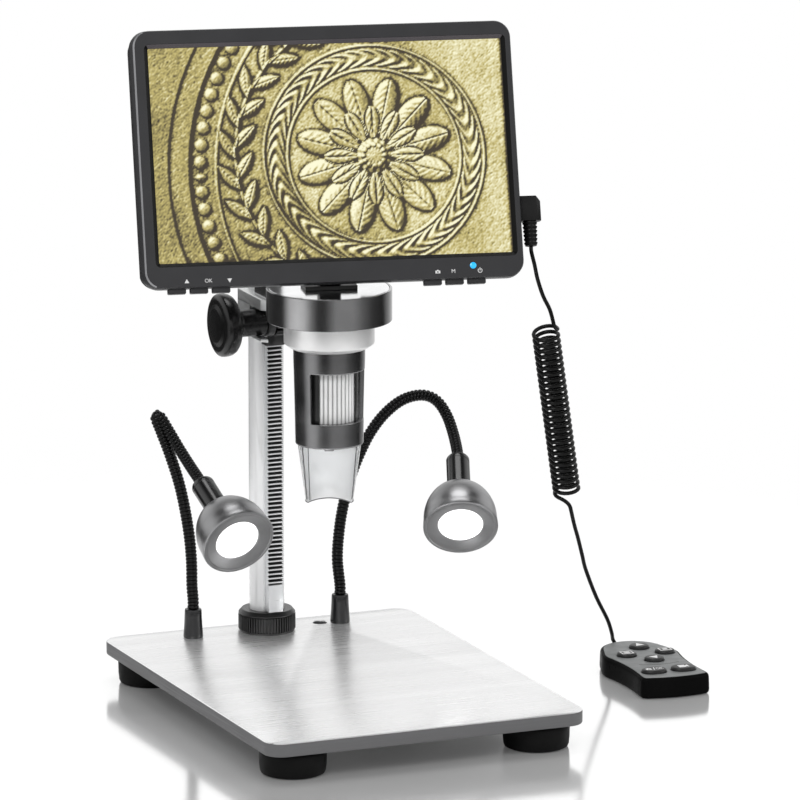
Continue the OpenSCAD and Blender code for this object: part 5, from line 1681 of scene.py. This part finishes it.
class MICROSCOPE_OT_lamps(bpy.types.Operator):
    """Make both goosenecks, lamp heads and lit discs"""

    bl_idname = "microscope.lamps"
    bl_label = "Gooseneck lamps"

    def execute(self, context):
        for side, lamp in LAMPS.items():
            make_gooseneck(side, lamp)
            make_lamp_head(side, lamp)
        return {"FINISHED"}


# ------------------------------------------------------------------ remote

KEYS = {"right": (2.6, 49.4), "menu": (-7.4, 38.4), "zoom": (10.2, 38.6), "left": (1, 27.6),
        "photo": (-6.6, 8.6), "video": (6.8, 8.6)}
OVAL_KEYS = ("photo", "video")
KEY_R, KEY_STRETCH, KEY_TOP = 4.2, 1.2, 10.4
COVER_LOW, COVER_TOP = 7.6, 9.0
# inset and height of the shell's loops, from the table up, over its edge and into the top
SHELL_LOOPS = ((1.6, 0), (0.7, 0.15), (0.25, 0.6), (0.05, 1.3), (0.0, 2.0), (0.15, 6.6),
               (0.25, 7.5), (0.45, 8.15), (0.8, 8.6), (1.25, 8.85), (1.55, 8.88),
               (1.6, COVER_LOW))


def remote_outline(inset):
    """The remote's outline, smaller by inset: bulging front, waist, round end."""
    end, half_w = 64.0, 17.3
    big, big_r = (0, end - 24), half_w - inset
    tip_r = half_w - 2.8 - inset
    tip = (0, end - inset - tip_r)
    lean = math.degrees(math.asin((big_r - tip_r) / (tip[1] - big[1])))
    bulge_r = 50
    bulge = (0, bulge_r - 3.4 + inset)
    front = 15.6 - inset
    corner_r = max(1, 3 - inset)
    corner_x = front - corner_r
    turn = math.degrees(math.asin(corner_x / (bulge_r - corner_r)))
    corner = (corner_x, bulge[1] - (bulge_r - corner_r) * math.cos(math.radians(turn)))
    waist_x, waist_y = 15, 16
    rise = big[1] - waist_y
    waist_r = (rise ** 2 + waist_x ** 2 - half_w ** 2) / (2 * (half_w - waist_x))
    waist = (waist_x + waist_r, waist_y)
    foot_turn = math.degrees(math.acos((waist[0] - front) / (waist_r + inset)))
    touch = math.degrees(math.asin(rise / (waist_r + half_w)))
    half = (arc(bulge, bulge_r, -90, -90 + turn, 10) + arc(corner, corner_r, -80 + turn, 0, 8)
            + arc(waist, waist_r + inset, 180 + foot_turn, 180 - touch, 20)
            + arc(big, big_r, 1 - touch, lean - 1, 16) + arc(tip, tip_r, lean, 90, 20))
    return half + [(-x, y) for x, y in half[-2:0:-1]]


def key_outline(name, radius):
    x, y = KEYS[name]
    shift = KEY_STRETCH if name in OVAL_KEYS else 0
    return arc((x + shift, y), radius, -90, 90, 20) + arc((x - shift, y), radius, 90, 270, 20)


def raised(outline, z):
    return [(x, y, z) for x, y in outline]


def make_remote_body():
    """A gloss black shell with soft edges, and a matt grey film let into its top."""
    shell = loft([raised(remote_outline(inset), z) for inset, z in SHELL_LOOPS], ON_REMOTE)
    piece(shell, "remote_shell", "remote_side", "remote", "remote_black", "remote_base", angle=30)
    film = [remote_outline(1.65)] + [key_outline(name, KEY_R + 0.3) for name in KEYS]
    piece(plate(film, COVER_LOW, COVER_TOP, 0.12, ON_REMOTE), "remote_top_film", "remote_film",
          "remote", "remote_grey", "remote_cover", angle=25)
    # a thin black strip along the film's engraved line: painted shade in the groove
    groove = band((1.5, 40), 20.5, 0.35, -118, -66, 24)
    piece(plate([groove], COVER_TOP, COVER_TOP + 0.05, 0, ON_REMOTE), "remote_fine_line",
          "key_silicone", "remote", "key_black")


def make_remote_keys():
    """Six domed silicone keys; each carries its own printed mark."""
    crown = KEY_TOP - 0.02 * sizes().key_dome / MM
    section = ((0, 6), (0, KEY_TOP - 0.7), (0.12, KEY_TOP - 0.35), (0.4, KEY_TOP - 0.12),
               (0.8, KEY_TOP - 0.02), (1.8, KEY_TOP), (3.2, crown))
    for name in KEYS:
        body = "remote_key_" + name
        key = loft([raised(key_outline(name, KEY_R - inset), z) for inset, z in section],
                   ON_REMOTE)
        piece(key, "round_key_" + name, "key_silicone", body, "key_black", body, angle=40)
        # the key's mark glows faintly: painted light
        piece(joined(*key_marks(name)), "key_mark_" + name, "icon_white", body, "key_black")


def key_marks(name):
    """The printed mark of a key, drawn round the key's middle."""
    face = ON_REMOTE @ at(*KEYS[name], KEY_TOP - 0.01)
    slant = face @ spin(-20, "Z")
    tall = face @ Matrix.Diagonal((1, 1.6, 1, 1))
    window = [box(-2.7, -2.2, 2.7, 2.2), box(-2.25, -1.6, 2.25, 1.6)]
    if name == "right":
        return [printed([[(-1.3, -2.3), (2.3, 0), (-1.3, 2.3)]], slant)]
    if name == "left":
        return [printed([[(1.3, 2.3), (-2.3, 0), (1.3, -2.3)]], slant)]
    if name == "menu":
        bars = [box(-1.3, z - 0.24, 1.3, z + 0.24) for z in (-0.8, 0, 0.8)]
        return [printed(window, face)] + [printed([bar], face) for bar in bars]
    if name == "zoom":
        return [printed(window, face), printed([box(-1.1, -0.8, 1.1, 0.8)], face)]
    if name == "photo":
        slash = [(-0.75, -1.2), (-0.35, -1.2), (0.65, 1.2), (0.25, 1.2)]
        return [printed(camera_mark(-2.5, 0, 1.05), tall), printed([slash], tall),
                word("OK", 2.4, -0.1, 2.3, tall)]
    return [printed(film_mark(1.6), tall)]


class MICROSCOPE_OT_remote(bpy.types.Operator):
    """Make the remote's shell, film, keys and marks"""

    bl_idname = "microscope.remote"
    bl_label = "Remote"

    def execute(self, context):
        make_remote_body()
        make_remote_keys()
        paint(frame["nodes"]["remote_board"].data, "circuit_green")
        return {"FINISHED"}


# ------------------------------------------------------------------ add-on

OPERATORS = (MICROSCOPE_OT_stage, MICROSCOPE_OT_cord, MICROSCOPE_OT_stand, MICROSCOPE_OT_head,
             MICROSCOPE_OT_drives, MICROSCOPE_OT_screen, MICROSCOPE_OT_lamps, MICROSCOPE_OT_remote)


class MICROSCOPE_PT_pieces(bpy.types.Panel):
    """Lists the steps that dress the microscope"""

    bl_label = "Microscope"
    bl_idname = "MICROSCOPE_PT_pieces"
    bl_space_type = "VIEW_3D"
    bl_region_type = "UI"
    bl_category = "Microscope"

    def draw(self, context):
        for operator in OPERATORS:
            self.layout.operator(operator.bl_idname)


CLASSES = (MicroscopeSizes, MicroscopeColours, *OPERATORS, MICROSCOPE_PT_pieces)


def register():
    for made in CLASSES:
        bpy.utils.register_class(made)
    bpy.types.Scene.microscope_sizes = PointerProperty(type=MicroscopeSizes)
    bpy.types.Scene.microscope_colours = PointerProperty(type=MicroscopeColours)


def unregister():
    del bpy.types.Scene.microscope_colours
    del bpy.types.Scene.microscope_sizes
    for made in reversed(CLASSES):
        bpy.utils.unregister_class(made)


def clear_start_objects():
    """Blender's own start objects would stand in the scene."""
    for obj in list(bpy.data.objects):
        if obj.name in ("Cube", "Light", "Camera"):
            bpy.data.objects.remove(obj)


def main():
    register()
    clear_start_objects()
    bpy.context.scene.view_settings.view_transform = "Standard"
    for operator in OPERATORS:
        group, step_name = operator.bl_idname.split(".")
        getattr(getattr(bpy.ops, group), step_name)()
    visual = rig.bounds()
    with open("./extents.json", "w") as out:
        json.dump({"cad": [list(c) for c in CAD_BOX], "visual": [list(c) for c in visual]}, out)


if __name__ == "__main__":
    main()
